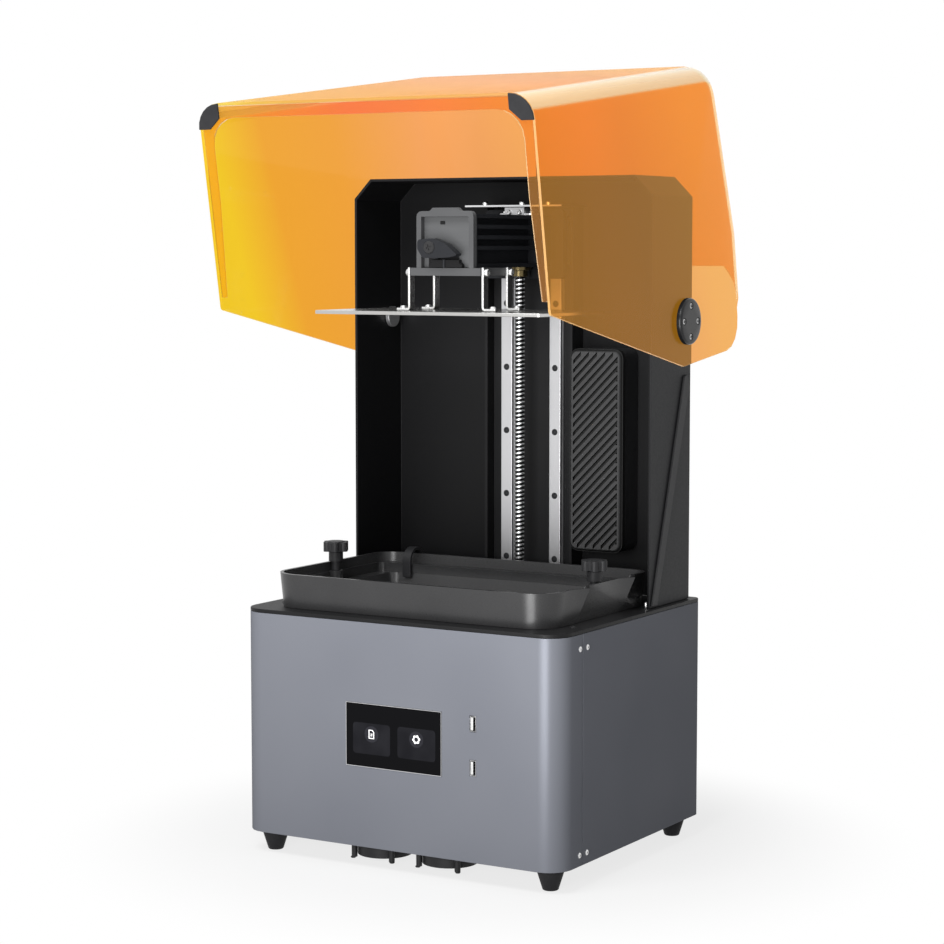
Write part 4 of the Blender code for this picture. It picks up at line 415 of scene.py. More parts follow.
def dyed_acrylic(name, light_and_dye_stops, glow_colour, glow):
    """Clear acrylic with painted light in its dye, a painted sheen and coat on the bends, and a frosted top.
    """
    acrylic = Finish(name, light_and_dye_stops[-1][1], WALL_ROUGHNESS, IOR=1.12, Specular_IOR_Level=0.08,
                     Emission_Color=(*glow_colour, 1.0), Emission_Strength=glow,
                     Coat_IOR=BEND_COAT_IOR, Coat_Roughness=WALL_ROUGHNESS)
    acrylic.bump(acrylic.grain(0.06, detail=1.0), 0.00008, 0.15)
    run = acrylic.node("VectorMath", acrylic.place, PAINTED_LIGHT_RUN, operation="DOT_PRODUCT").outputs["Value"]
    # Painted light and shade: the dye ramp is paler yellow at the front left, deeper orange at the rear
    # right.
    dye_and_light = acrylic.ramp(acrylic.span(run, PAINTED_LIGHT_START, PAINTED_LIGHT_START + PAINTED_LIGHT_LENGTH), light_and_dye_stops)
    # Painted sheen: where the normal faces the shoulders, a pale cream colour and less transmission; the
    # coat is real gloss.
    normal = acrylic.node("TexCoord").outputs["Normal"]
    facing = acrylic.node("VectorMath", normal, operation="ABSOLUTE").outputs["Vector"]
    slant = acrylic.node("VectorMath", facing, SHEEN_FACING, operation="DOT_PRODUCT").outputs["Value"]
    sheen_and_coat = acrylic.span(slant, SHEEN_START, SHEEN_FULL)
    upward = acrylic.node("SeparateXYZ", facing).outputs["Z"]
    acrylic.put(Base_Color=acrylic.node("MixRGB", sheen_and_coat, dye_and_light, (*PAINTED_SHEEN, 1.0)).outputs[0],
                Transmission_Weight=acrylic.span(sheen_and_coat, 0.0, 1.0, WALL_CLEARNESS, SHEEN_CLEARNESS),
                Coat_Weight=sheen_and_coat,
                Roughness=acrylic.span(upward, FROST_START, FROST_FULL, WALL_ROUGHNESS, TOP_ROUGHNESS))


dyed_acrylic("orange_acrylic", SHELL_DYE_AND_LIGHT, glow_colour=(1.0, 0.49, 0.012), glow=0.124)
dyed_acrylic("rim_acrylic", RIM_DYE_AND_LIGHT, glow_colour=(1.0, 0.45, 0.10), glow=0.035)
print("finishes", len(finishes))

# %% [markdown]
# ## Soft edges on the solids
#
# No real edge is perfectly sharp, and the thin bright line along an edge is what makes a render look
# solid. The edges could be rounded in the solids, at a high price in triangles. A Bevel modifier rounds
# them here and leaves the mesh untouched. The solids arrive as loose triangles with stored shading, so a
# small node group first joins the points and drops that shading, and Decimate merges flat triangles,
# because a bevel needs whole faces.

# %% Edge softening
JOIN_DISTANCE = 0.00001
FLAT_ANGLE = math.radians(1.0)
SOFT_ANGLE = math.radians(35.0)
EDGE_RADIUS = 0.0005
EDGE_SHARE = 0.2
EDGE_SEGMENTS = 2


def joining_group():
    """Node group that joins loose triangles and lets them shade smoothly."""
    group = bpy.data.node_groups.new("joined_faces", "GeometryNodeTree")
    group.interface.new_socket("Geometry", in_out="INPUT", socket_type="NodeSocketGeometry")
    group.interface.new_socket("Geometry", in_out="OUTPUT", socket_type="NodeSocketGeometry")
    last = group.nodes.new("NodeGroupInput").outputs[0]
    for stored in ("custom_normal", "sharp_edge", "sharp_face"):
        drop = group.nodes.new("GeometryNodeRemoveAttribute")
        drop.inputs["Name"].default_value = stored
        group.links.new(last, drop.inputs["Geometry"])
        last = drop.outputs["Geometry"]
    merge = group.nodes.new("GeometryNodeMergeByDistance")
    merge.inputs["Distance"].default_value = JOIN_DISTANCE
    group.links.new(last, merge.inputs["Geometry"])
    smooth = group.nodes.new("GeometryNodeSetShadeSmooth")
    group.links.new(merge.outputs["Geometry"], smooth.inputs["Geometry"])
    group.links.new(smooth.outputs["Geometry"], group.nodes.new("NodeGroupOutput").inputs[0])
    return group


joined_faces = joining_group()


def soften(piece, radius):
    """Round the sharp edges of a piece with modifiers alone."""
    piece.modifiers.new("joined_faces", "NODES").node_group = joined_faces
    flat = piece.modifiers.new("flat_faces", "DECIMATE")
    flat.decimate_type = "DISSOLVE"
    flat.angle_limit = FLAT_ANGLE
    bevel = piece.modifiers.new("soft_edges", "BEVEL")
    bevel.width = radius
    bevel.segments = EDGE_SEGMENTS
    bevel.limit_method = "ANGLE"
    bevel.angle_limit = SOFT_ANGLE
    bevel.harden_normals = True


def dress(name, finish):
    """Put a finish on a solid."""
    solids[name].material_slots[0].material = finishes[finish]


for name, solid in solids.items():
    low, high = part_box(name)
    soften(solid, min(EDGE_RADIUS, min(high - low) * EDGE_SHARE))
    dress(name, solid.data.materials[0].name)
print("dressed", len(solids), "solids")

# %% [markdown]
# ## Finishes of single solids
#
# A few solids differ from the rest of their slot. The build plate is bare blasted aluminium, and its
# mount is a lighter grey than the arm. Three carry painted light and shade: the tower's inside is painted
# darker as unlit and its outer sides paler as lit, a bent strip has a bright front edge and a painted dark
# reflection behind, and the filter cover's grooves are painted near black as shade. Each of these three
# changes colour at a place along one axis, read from its own box.

# %% Hood rim, plate, mount
dress("hood_rim", "rim_acrylic")
plate_metal = Finish("plate_metal", (0.56, 0.555, 0.54), 0.22, 1.0)
plate_metal.skin(0.0007, rough=(0.16, 0.28), depth=0.00001, detail=3.0)
dress("build_plate", "plate_metal")
mount_paint = Finish("mount_paint", (0.082, 0.083, 0.086), 0.5, Specular_IOR_Level=0.3)
mount_paint.mottle(0.02, (0.079, 0.080, 0.083), (0.085, 0.086, 0.089), detail=1.0)
mount_paint.skin(0.0008, rough=(0.42, 0.58), depth=0.00006, strength=0.5, detail=3.0)
dress("platform_mount", "mount_paint")
dress("clamp_shoe", "black_metal")
print("own finishes on the rim, plate, mount and shoe")

# %% Tower, strips, filter cover
LIT_SIDE_SKIN = 0.0008
LIT_SIDE_FADE = 0.0002
STRIP_EDGE = 0.0012
REFLECTION_FADE = 0.0004
GROOVE_SHADE_START = 0.0009
GROOVE_SHADE_FADE = 0.0008
tower_low, tower_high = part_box("tower_shell")
# Painted light and shade: the tower's inside is painted darker as unlit, its outer sides paler as lit.
lit_side_edge = tower_high.x - LIT_SIDE_SKIN
tower_coat_lit_and_shaded = Finish("tower_coat_lit_and_shaded", (0.009, 0.009, 0.0096), 0.5, Specular_IOR_Level=0.18)
from_centre = tower_coat_lit_and_shaded.node("Math", tower_coat_lit_and_shaded.along("X"), operation="ABSOLUTE").outputs[0]
tower_coat_lit_and_shaded.colour_step(from_centre, lit_side_edge - LIT_SIDE_FADE / 2, lit_side_edge + LIT_SIDE_FADE / 2,
                    before=(0.0035, 0.0035, 0.004), after=(0.0150, 0.0155, 0.0170))
tower_coat_lit_and_shaded.skin(0.0011, rough=(0.44, 0.56), depth=0.00004, strength=0.4)
dress("tower_shell", "tower_coat_lit_and_shaded")

# Painted reflection: each strip keeps a bright front edge, and behind it the steel is painted dark as it
# would reflect the dark inside.
for pair in ("front", "rear"):
    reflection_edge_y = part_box("bracket_" + pair + "_left")[0].y + STRIP_EDGE
    painted_reflection_steel = Finish("painted_reflection_steel_" + pair, (0.8, 0.8, 0.8), 0.3, 0.75)
    painted_reflection_steel.colour_step(painted_reflection_steel.along("Y"), reflection_edge_y - REFLECTION_FADE / 2, reflection_edge_y + REFLECTION_FADE / 2,
                         before=(0.83, 0.83, 0.82), after=(0.15, 0.15, 0.15))
    painted_reflection_steel.skin(0.0012, rough=(0.24, 0.36), depth=0.00001, detail=3.0)
    for side in ("_left", "_right"):
        dress("bracket_" + pair + side, "painted_reflection_steel_" + pair)

# Painted shade: the grooves behind the cover's front face are painted near black.
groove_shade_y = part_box("filter_cover")[0].y + GROOVE_SHADE_START
groove_shaded = Finish("ribbed_plastic", (0.05, 0.05, 0.05), 0.5, Specular_IOR_Level=0.3)
groove_shaded.colour_step(groove_shaded.along("Y"), groove_shade_y - GROOVE_SHADE_FADE / 2, groove_shade_y + GROOVE_SHADE_FADE / 2,
                before=(0.050, 0.050, 0.051), after=(0.006, 0.006, 0.006))
groove_shaded.skin(0.0005, rough=(0.42, 0.56), depth=0.00003, strength=0.45, detail=3.0)
dress("filter_cover", "ribbed_plastic")
# The three finishes above carry painted light and shade.
print("two-tone finishes on the tower, strips and filter cover")

# %% [markdown]
# A path tracer cannot find lamps through two clear faces, so a clear hood would darken all that is under
# it. The hood is hidden from the rays that carry light and from mirrors, and stays visible to the eye
# and through glass.

# %% Rays and the hood
for clear in ("hood_shell", "hood_rim"):
    solids[clear].visible_shadow = False
    solids[clear].visible_diffuse = False
    solids[clear].visible_glossy = False
print("hood lets light through")

# %% [markdown]
# ## Fasteners, made from rings
#
# Dozens of small screws hold the machine together, and their recesses are what the eye looks for. A
# screw could be a cylinder cut by a boolean, but booleans leave thin faces. Every head here is a stack
# of rings with the same number of points, joined ring by ring: outside, dome, the outline of the recess,
# and the recess floor. Heads of one kind are gathered in one mesh, because they share a body and a
# finish.

# %% Ring helpers
RING_POINTS = 24
SHARP_ANGLE = math.radians(38.0)


def circle(radius, points=RING_POINTS):
    """Round outline. The first point lies one step before the X axis."""
    turns = [math.tau * (step - 1) / points for step in range(points)]
    return [(radius * math.cos(turn), radius * math.sin(turn)) for turn in turns]


def at_height(outline, height):
    """A flat outline as a ring at this height."""
    return [(x, y, height) for x, y in outline]


def ring(radius, height, points=RING_POINTS):
    """Circle of points about Z at this height."""
    return at_height(circle(radius, points), height)


def lofted(rings, close_start=True, close_end=True):
    """Points and faces of a skin through rings of equal length."""
    count = len(rings[0])
    points = [point for one in rings for point in one]
    faces = []
    for layer in range(len(rings) - 1):
        for step in range(count):
            here = layer * count + step
            beside = layer * count + (step + 1) % count
            faces.append((here, beside, beside + count, here + count))
    if close_start:
        faces.append(tuple(reversed(range(count))))
    if close_end:
        faces.append(tuple(range(len(points) - count, len(points))))
    return points, faces


def set_at(shape, spot, outward=(0, 0, 1), turn=0.0):
    """A shape moved to a spot with its Z axis turned outward."""
    aim = Vector(outward).to_track_quat("Z", "Y").to_matrix().to_4x4()
    move = Matrix.Translation(spot) @ aim @ Matrix.Rotation(turn, 4, "Z")
    return [tuple(move @ Vector(point)) for point in shape[0]], shape[1]


def gathered(shapes):
    """Several shapes as one list of points and one list of faces."""
    points = []
    faces = []
    for shape_points, shape_faces in shapes:
        start = len(points)
        points += shape_points
        faces += [tuple(start + corner for corner in face) for face in shape_faces]
    return points, faces


def add_piece(name, shape, finish, body):
    """Make a piece of the machine from a shape, and let it ride on a body."""
    mesh = bpy.data.meshes.new(name)
    mesh.from_pydata(shape[0], [], shape[1])
    shell = bmesh.new()
    shell.from_mesh(mesh)
    bmesh.ops.recalc_face_normals(shell, faces=shell.faces)
    shell.to_mesh(mesh)
    shell.free()
    mesh.shade_smooth()
    mesh.set_sharp_from_angle(angle=SHARP_ANGLE)
    mesh.materials.append(finishes[finish])
    piece = bpy.data.objects.new(name, mesh)
    bpy.context.scene.collection.objects.link(piece)
    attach(piece, body)
    return piece


print("ring helpers ready")

# %% Screw heads
HEAD_WALL = 0.5
HEAD_SHOULDER = 0.85
HEAD_FLAT = 0.86
RECESS_DEPTH = 0.65
RECESS_TAPER = 0.88
QUARTERS = ((1, 0), (0, 1), (-1, 0), (0, -1))


def cross_outline(reach, half_width):
    """Outline of a cross recess, six points to each arm."""
    middle = (reach + half_width) / 2
    arm = [(reach, -half_width), (reach, 0), (reach, half_width)]
    arm += [(middle, half_width), (half_width, half_width), (half_width, middle)]
    points = []
    for cosine, sine in QUARTERS:
        points += [(x * cosine - y * sine, x * sine + y * cosine) for x, y in arm]
    return points


def hex_outline(reach):
    """Outline of a six-sided recess whose corners lie at this reach."""
    inner = reach * math.cos(math.pi / 6)
    points = []
    for x, y in circle(1.0):
        turn = math.atan2(y, x) % (math.pi / 3) - math.pi / 6
        points.append((x * inner / math.cos(turn), y * inner / math.cos(turn)))
    return points


def screw_head(radius, height, recess, dome):
    """Round head standing on Z = 0, with a recess of this outline in its top."""
    rings = [ring(radius, 0), ring(radius, height * HEAD_WALL), ring(radius * dome, height * HEAD_SHOULDER)]
    rings.append(ring(radius * dome * HEAD_FLAT, height))
    rings.append(at_height(recess, height))
    rings.append([(x * RECESS_TAPER, y * RECESS_TAPER, height * (1 - RECESS_DEPTH)) for x, y in recess])
    return lofted(rings)


bolt_silver = Finish("bolt_silver", (0.70, 0.70, 0.70), 0.26, 1.0)
bolt_silver.skin(0.0004, rough=(0.18, 0.34), depth=0.00001, detail=3.0)
bolt_black = Finish("bolt_black", (0.016, 0.016, 0.017), 0.36, Specular_IOR_Level=0.4)
bolt_black.mottle(0.002, (0.013, 0.013, 0.014), (0.020, 0.020, 0.021))
bolt_black.skin(0.0005, rough=(0.28, 0.44), depth=0.00001, detail=3.0)
print("screw heads ready")

# %% [markdown]
# ## Screws of the base
#
# The front cover meets the rear cover in a seam on each side, and a pair of silver button heads
# straddles the seam near the top and again near the bottom. Black screws hold the deck at its corners,
# and two silver bolts on each side tie the tower's foot to it. The seam is read from the boxes of the
# two covers, so the pairs always straddle it.

# %% Base screws
SEAM_AHEAD = 0.0058
SEAM_BEHIND = 0.0075
SEAM_SCREW_DROP = 0.0125
SEAM_SCREW_RISE = 0.0100
front_low, front_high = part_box("front_cover")
rear_low, rear_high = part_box("rear_cover")
deck_low, deck_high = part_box("deck_plate")
seam_y = (front_high.y + rear_low.y) / 2
button_head = screw_head(radius=0.0025, height=0.0011, recess=cross_outline(0.0014, 0.0003), dome=0.86)
seam_screws = []
for side in (-1, 1):
    for y in (seam_y - SEAM_AHEAD, seam_y + SEAM_BEHIND):
        for z in (front_low.z + SEAM_SCREW_RISE, front_high.z - SEAM_SCREW_DROP):
            seam_screws.append(set_at(button_head, (side * front_high.x, y, z), (side, 0, 0), turn=0.4))
add_piece("seam_screws", gathered(seam_screws), "bolt_silver", "base")

DECK_SCREW_INSET = 0.0145
DECK_SCREW_REAR = 0.00725
deck_head = screw_head(radius=0.0028, height=0.0009, recess=cross_outline(0.0016, 0.00035), dome=0.88)
deck_screws = []
for x in (deck_low.x + DECK_SCREW_INSET, deck_high.x - DECK_SCREW_INSET):
    for y in (seam_y + SEAM_BEHIND, deck_high.y - DECK_SCREW_REAR):
        deck_screws.append(set_at(deck_head, (x, y, deck_high.z), turn=0.5))
add_piece("deck_screws", gathered(deck_screws), "bolt_black", "base")

TOWER_BOLT_INSET = 0.010
TOWER_BOLTS_BACK = (0.013, 0.040)
foot_bolt = screw_head(radius=0.0026, height=0.0042, recess=hex_outline(0.0014), dome=0.94)
tower_bolts = []
for side in (-1, 1):
    for back in TOWER_BOLTS_BACK:
        bolt_spot = (side * (tower_high.x - TOWER_BOLT_INSET), tower_low.y + back, deck_high.z)
        tower_bolts.append(set_at(foot_bolt, bolt_spot))
add_piece("tower_bolts", gathered(tower_bolts), "bolt_silver", "base")
print("screws", len(seam_screws), len(deck_screws), len(tower_bolts))

# %% [markdown]
# ## The lead screw's thread
#
# The screw that lifts the plate is a rod with one thread of 4 mm to a turn. A thread could be a Screw
# modifier on a tooth, whose ends are hard to close. Here a grid is wound on the rod and sheared, so that
# its rows follow the thread: each step round the rod also climbs. The grid runs past both ends, is cut
# flat there and closed. The colour changes with the distance from the axis: the root is painted near
# black as shade, and the crest is bright steel.

# %% Thread
THREAD_LEAD = 0.004
THREAD_ROOT = 0.0039
THREAD_OVERRUN = 2
THREAD_SIDES = 16
TOOTH = (0.0, 0.0, 0.55, 1.0, 1.0, 1.0, 0.55, 0.0)
rod_low, rod_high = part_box("lead_screw")
rod_radius = (rod_high.x - rod_low.x) / 2
rod_spot = (rod_low + rod_high) / 2


def threaded_rod(bottom, top):
    """Rod with a right-handed thread, cut flat at both ends."""
    lap = len(TOOTH)
    rows = math.ceil((top - bottom) / THREAD_LEAD + THREAD_OVERRUN) * lap
    wound = bmesh.new()
    grid = []
    for row in range(rows + lap + 1):
        radius = THREAD_ROOT + (rod_radius - THREAD_ROOT) * TOOTH[row % lap]
        line = []
        for side in range(THREAD_SIDES):
            turn = math.tau * side / THREAD_SIDES
            x = rod_spot.x + radius * math.cos(turn)
            y = rod_spot.y + radius * math.sin(turn)
            climb = THREAD_LEAD * (row / lap + side / THREAD_SIDES - THREAD_OVERRUN)
            line.append(wound.verts.new((x, y, bottom + climb)))
        grid.append(line)
    for row in range(rows):
        here = grid[row]
        above = grid[row + 1]
        for side in range(THREAD_SIDES - 1):
            wound.faces.new((here[side], here[side + 1], above[side + 1], above[side]))
        wound.faces.new((here[-1], grid[row + lap][0], grid[row + lap + 1][0], above[-1]))
    for height, outward in ((bottom, -1), (top, 1)):
        everything = wound.verts[:] + wound.edges[:] + wound.faces[:]
        bmesh.ops.bisect_plane(wound, geom=everything, plane_co=(0, 0, height), plane_no=(0, 0, outward),
                               clear_outer=True)
        bmesh.ops.holes_fill(wound, edges=[edge for edge in wound.edges if edge.is_boundary])
    bmesh.ops.delete(wound, geom=[vert for vert in wound.verts if not vert.link_faces], context="VERTS")
    wound.verts.index_update()
    points = [tuple(vert.co) for vert in wound.verts]
    faces = [tuple(vert.index for vert in face.verts) for face in wound.faces]
    wound.free()
    return points, faces


ROOT_SHADE_TOP = 0.0003
CREST_EDGE = 0.0002
shaded_screw_steel = Finish("shaded_screw_steel", (0.66, 0.66, 0.67), 0.2, 1.0)
from_axis = shaded_screw_steel.node("Mapping", shaded_screw_steel.place, Location=(-rod_spot.x, -rod_spot.y, 0.0),
                             Scale=(1.0, 1.0, 0.0))
thread_reach = shaded_screw_steel.node("VectorMath", from_axis.outputs[0], operation="LENGTH").outputs["Value"]
# Painted shade: near black at the thread's root, bright steel at the crest.
shaded_screw_steel.colour_step(thread_reach, THREAD_ROOT + ROOT_SHADE_TOP, rod_radius - CREST_EDGE,
                     before=(0.02, 0.02, 0.02), after=(0.80, 0.80, 0.81))
shaded_screw_steel.skin(0.0006, rough=(0.14, 0.28), depth=0.00001)
rod = threaded_rod(rod_low.z, rod_high.z)
thread = add_piece("lead_screw_thread", rod, "shaded_screw_steel", "screw")
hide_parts("lead_screw")
print("thread points", len(thread.data.vertices))

# %% [markdown]
# ## Bolts of the rails
#
# Each linear rail is held by a row of bolts sunk in counterbores, whose shade shows as dark rings. Sinking
# them would mean cutting the rail, and the rails have to keep their solids, so a black ring as thin as
# paint carries the head and paints the counterbore's shade.

# %% Rail bolts
RAIL_BOLT_START = 0.0263
RAIL_BOLT_PITCH = 0.061
RAIL_BOLT_PROUD = 0.0001
COUNTERBORE_RADIUS = 0.0031
COUNTERBORE_FLOOR = 0.0024
# Painted shade: a thin black ring stands for the shade in each counterbore.
counterbore = lofted([ring(COUNTERBORE_RADIUS, 0), ring(COUNTERBORE_RADIUS, RAIL_BOLT_PROUD),
                      ring(COUNTERBORE_FLOOR, RAIL_BOLT_PROUD)])
sunk_head = screw_head(radius=0.0023, height=RAIL_BOLT_PROUD * 2, recess=hex_outline(0.0013), dome=0.95)
rail_shade_rings = []
rail_heads = []
for rail in ("rail_left", "rail_right"):
    low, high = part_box(rail)
    height = low.z + RAIL_BOLT_START
    while height < high.z - RAIL_BOLT_START / 2:
        bolt_spot = ((low.x + high.x) / 2, low.y, height)
        rail_shade_rings.append(set_at(counterbore, bolt_spot, (0, -1, 0)))
        rail_heads.append(set_at(sunk_head, bolt_spot, (0, -1, 0)))
        height += RAIL_BOLT_PITCH
add_piece("rail_counterbore_shade", gathered(rail_shade_rings), "bolt_black", "base")
add_piece("rail_bolts", gathered(rail_heads), "dark_casting", "base")
print("rail bolts", len(rail_heads))

# %% [markdown]
# ## The top bearing
#
# The bearing at the top of the screw is bolted down through a silver flange, two more bolts hold its
# front, and three stand on the cap above it, whose front edge is bare metal. The flange and that edge
# could be scaled cubes, but a cube's corners give it away. A plate with rounded corners needs only one
# outline, and the same outline serves every flat piece further on.

# %% Plate helpers
CORNER_STEPS = 4


def plate_outline(width, height, corner):
    """Outline of a rectangle with rounded corners about the origin."""
    outline = []
    for side_x, side_y, start in ((1, 1, 0), (-1, 1, 1), (-1, -1, 2), (1, -1, 3)):
        for step in range(CORNER_STEPS + 1):
            turn = math.pi / 2 * (start + step / CORNER_STEPS)
            x = side_x * (width / 2 - corner) + corner * math.cos(turn)
            outline.append((x, side_y * (height / 2 - corner) + corner * math.sin(turn)))
    return outline


def slab(outline, thickness):
    """A flat outline with a thickness along Z."""
    return lofted([at_height(outline, 0), at_height(outline, thickness)])


def plate_between(span_x, span_y, corner, layers):
    """Plate between two ends each way. Each layer is a height, and how far the outline draws in there."""
    middle_x = sum(span_x) / 2
    middle_y = sum(span_y) / 2
    rings = []
    for height, inset in layers:
        width = span_x[1] - span_x[0] - 2 * inset
        depth = span_y[1] - span_y[0] - 2 * inset
        outline = plate_outline(width, depth, corner - inset)
        rings.append([(middle_x + x, middle_y + y, height) for x, y in outline])
    return lofted(rings)


def facing_front(shape, face_y):
    """A plate drawn in XY with its thickness along Z, stood up to face -Y on a face at this Y."""
    points = [(x, face_y - height, z) for x, z, height in shape[0]]
    return points, shape[1]


print("plate helpers ready")

# %% Bearing flange, cap edge, drive bolts
FLANGE_HALF = 0.0180
FLANGE_FRONT = 0.001
FLANGE_BACK = 0.0175
FLANGE_DROP = 0.0051
FLANGE_THICKNESS = 0.0020
FLANGE_CORNER = 0.003
FLANGE_CHAMFER = 0.0005
CAP_THICKNESS = 0.0018
CAP_CORNER = 0.0004
CAP_SKIN = 0.0003
SKIN_TAPER = 0.0001
bearing_low, bearing_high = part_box("screw_bearing")
cap_low, cap_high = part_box("z_column")
flange_top = bearing_high.z - FLANGE_DROP
flange_layers = [(flange_top - FLANGE_THICKNESS, 0.0), (flange_top - FLANGE_CHAMFER, 0.0),
                 (flange_top, FLANGE_CHAMFER)]
flange_y = (bearing_low.y + FLANGE_FRONT, bearing_low.y + FLANGE_BACK)
flange = plate_between((-FLANGE_HALF, FLANGE_HALF), flange_y, FLANGE_CORNER, flange_layers)
add_piece("bearing_flange", flange, "silver_sheet", "base")
cap_edge = plate_between((cap_low.x, cap_high.x), (cap_high.z - CAP_THICKNESS, cap_high.z), CAP_CORNER,
                         [(0, 0.0), (CAP_SKIN, SKIN_TAPER)])
add_piece("cap_edge", facing_front(cap_edge, cap_low.y), "silver_sheet", "base")

FLANGE_BOLT_X = 0.0144
FLANGE_BOLT_BACK = 0.008
FRONT_BOLT_X = 0.0055
FRONT_BOLT_DROP = 0.0045
CAP_BOLTS_X = (-0.034, 0.006, 0.034)
CAP_BOLT_BACK = 0.0075
flange_bolt = screw_head(radius=0.0024, height=0.0024, recess=hex_outline(0.0013), dome=0.94)
cap_bolt = screw_head(radius=0.0030, height=0.0036, recess=hex_outline(0.0016), dome=0.94)
drive_bolts = []
for side in (-1, 1):
    flange_spot = (side * FLANGE_BOLT_X, bearing_low.y + FLANGE_BOLT_BACK, flange_top)
    front_spot = (side * FRONT_BOLT_X, bearing_low.y, bearing_high.z - FRONT_BOLT_DROP)
    drive_bolts.append(set_at(flange_bolt, flange_spot))
    drive_bolts.append(set_at(flange_bolt, front_spot, (0, -1, 0)))
for x in CAP_BOLTS_X:
    drive_bolts.append(set_at(cap_bolt, (x, cap_low.y + CAP_BOLT_BACK, cap_high.z)))
add_piece("drive_bolts", gathered(drive_bolts), "bolt_silver", "base")
print("drive bolts", len(drive_bolts))

# %% [markdown]
# ## The carriage's screws and its clamp
#
# Four bent strips hang the build plate under the mount. A silver bolt goes sideways through the top of
# each strip and another stands on its foot. The clamp lever turns about a round boss with a cross
# recess, and behind it the arm's milled front has a pocket for the shoe and a small notch at the top.
# Cutting them would change the arm's solid, so black skins as thin as paint stand in and paint their shade.

# %% Strip bolts
STRIP_THICKNESS = 0.0020
STRIP_BOLT_DROP = 0.0046
STRIP_SCREW_X = 0.0472
strip_bolt = screw_head(radius=0.0036, height=0.0032, recess=hex_outline(0.0018), dome=0.92)
strip_screw = screw_head(radius=0.0030, height=0.0020, recess=cross_outline(0.0016, 0.0004), dome=0.84)
strip_bolts = []
for strip in ("bracket_front_left", "bracket_front_right", "bracket_rear_left", "bracket_rear_right"):
    low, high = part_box(strip)
    side = 1 if low.x > 0 else -1
    wall = min(abs(low.x), abs(high.x)) + STRIP_THICKNESS
    middle = (low.y + high.y) / 2
    bolt_spot = (side * wall, middle, high.z - STRIP_BOLT_DROP)
    screw_spot = (side * STRIP_SCREW_X, middle, low.z + STRIP_THICKNESS)
    strip_bolts.append(set_at(strip_bolt, bolt_spot, (side, 0, 0)))
    strip_bolts.append(set_at(strip_screw, screw_spot, turn=0.6))
add_piece("strip_bolts", gathered(strip_bolts), "bolt_silver", "carriage")
print("strip bolts", len(strip_bolts))

# %% Lever boss
BOSS_STEPS = ((0.0056, 0.0), (0.0056, 0.0005), (0.0050, 0.0011), (0.0042, 0.0011))
BOSS_TOP = 0.0011
BOSS_RECESS_FLOOR = 0.0003


def axle_of(joint_name):
    """Where a joint's axle lies at rest."""
    return Vector([joint["pos_m"] for joint in frame["joints"] if joint["name"] == joint_name][0])


lever_axle = axle_of("lever_turn")
boss_rings = [ring(radius, height) for radius, height in BOSS_STEPS]
boss_rings.append(at_height(cross_outline(0.0026, 0.0006), BOSS_TOP))
boss_rings.append(at_height(cross_outline(0.0022, 0.0005), BOSS_RECESS_FLOOR))
boss_spot = (lever_axle.x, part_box("clamp_lever")[0].y, lever_axle.z)
boss = set_at(lofted(boss_rings), boss_spot, (0, -1, 0), turn=0.3)
add_piece("lever_boss", boss, "bolt_black", "lever")
print("lever axle", round(lever_axle.x, 4), round(lever_axle.z, 4))

# %% Arm face and shoe guide
FACE_HALF = 0.0262
FACE_RISE = 0.0115
FACE_DROP = 0.0062
FACE_CORNER = 0.002
FACE_SKIN = 0.0002
POCKET_X = (-0.0204, 0.0120)
POCKET_RISES = (0.0118, 0.0216)
POCKET_CORNER = 0.0012
NOTCH_X = (-0.0082, -0.0030)
NOTCH_DROPS = (0.0150, 0.0118)
NOTCH_CORNER = 0.0006
MARK_SKIN = 0.0003
arm_low, arm_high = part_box("carriage_arm")
machined = Finish("machined_face", (0.098, 0.100, 0.103), 0.42, 0.2)
machined.skin(0.0006, rough=(0.34, 0.5), depth=0.00001, stretch=(20.0, 1.0, 1.0))
face = plate_between((-FACE_HALF, FACE_HALF), (arm_low.z + FACE_RISE, arm_high.z - FACE_DROP), FACE_CORNER,
                     [(0, 0.0), (FACE_SKIN, 0.0)])
add_piece("arm_face", facing_front(face, arm_low.y), "machined_face", "carriage")
mark_layers = [(0, 0.0), (MARK_SKIN, SKIN_TAPER)]
pocket = plate_between(POCKET_X, [arm_low.z + rise for rise in POCKET_RISES], POCKET_CORNER, mark_layers)
notch = plate_between(NOTCH_X, [arm_high.z - drop for drop in NOTCH_DROPS], NOTCH_CORNER, mark_layers)
# Painted shade: black skins stand for the uncut pocket and notch.
arm_shade_marks = gathered([facing_front(mark, arm_low.y - FACE_SKIN) for mark in (pocket, notch)])
add_piece("arm_pocket_shade", arm_shade_marks, "black_metal", "carriage")

GUIDE_X = -0.001
GUIDE_RADIUS = 0.0014
shoe_low, shoe_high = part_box("clamp_shoe")
guide = slab(circle(GUIDE_RADIUS), shoe_high.z - shoe_low.z)
shoe_guide = set_at(guide, (GUIDE_X, shoe_low.y, shoe_low.z))
add_piece("shoe_guide", shoe_guide, "dark_casting", "shoe")
print("arm face", round(2 * FACE_HALF, 4), "m wide, guide", round(shoe_high.z - shoe_low.z, 4), "m long")

# %% [markdown]
# ## Hinge discs with countersunk screws
#
# The hood turns on two black discs, each fixed by four screws whose heads lie in cones. The discs are
# the widest part of the machine, so nothing may stand on them, and the cones have to be real. The disc
# is rebuilt here: a turned skin with a bore for the pin, four cones, and a flat face filled between the
# rim and the cones' mouths. A black spot as thin as paint lies in each head and paints the shade of its
# socket, which is too deep for the cone.

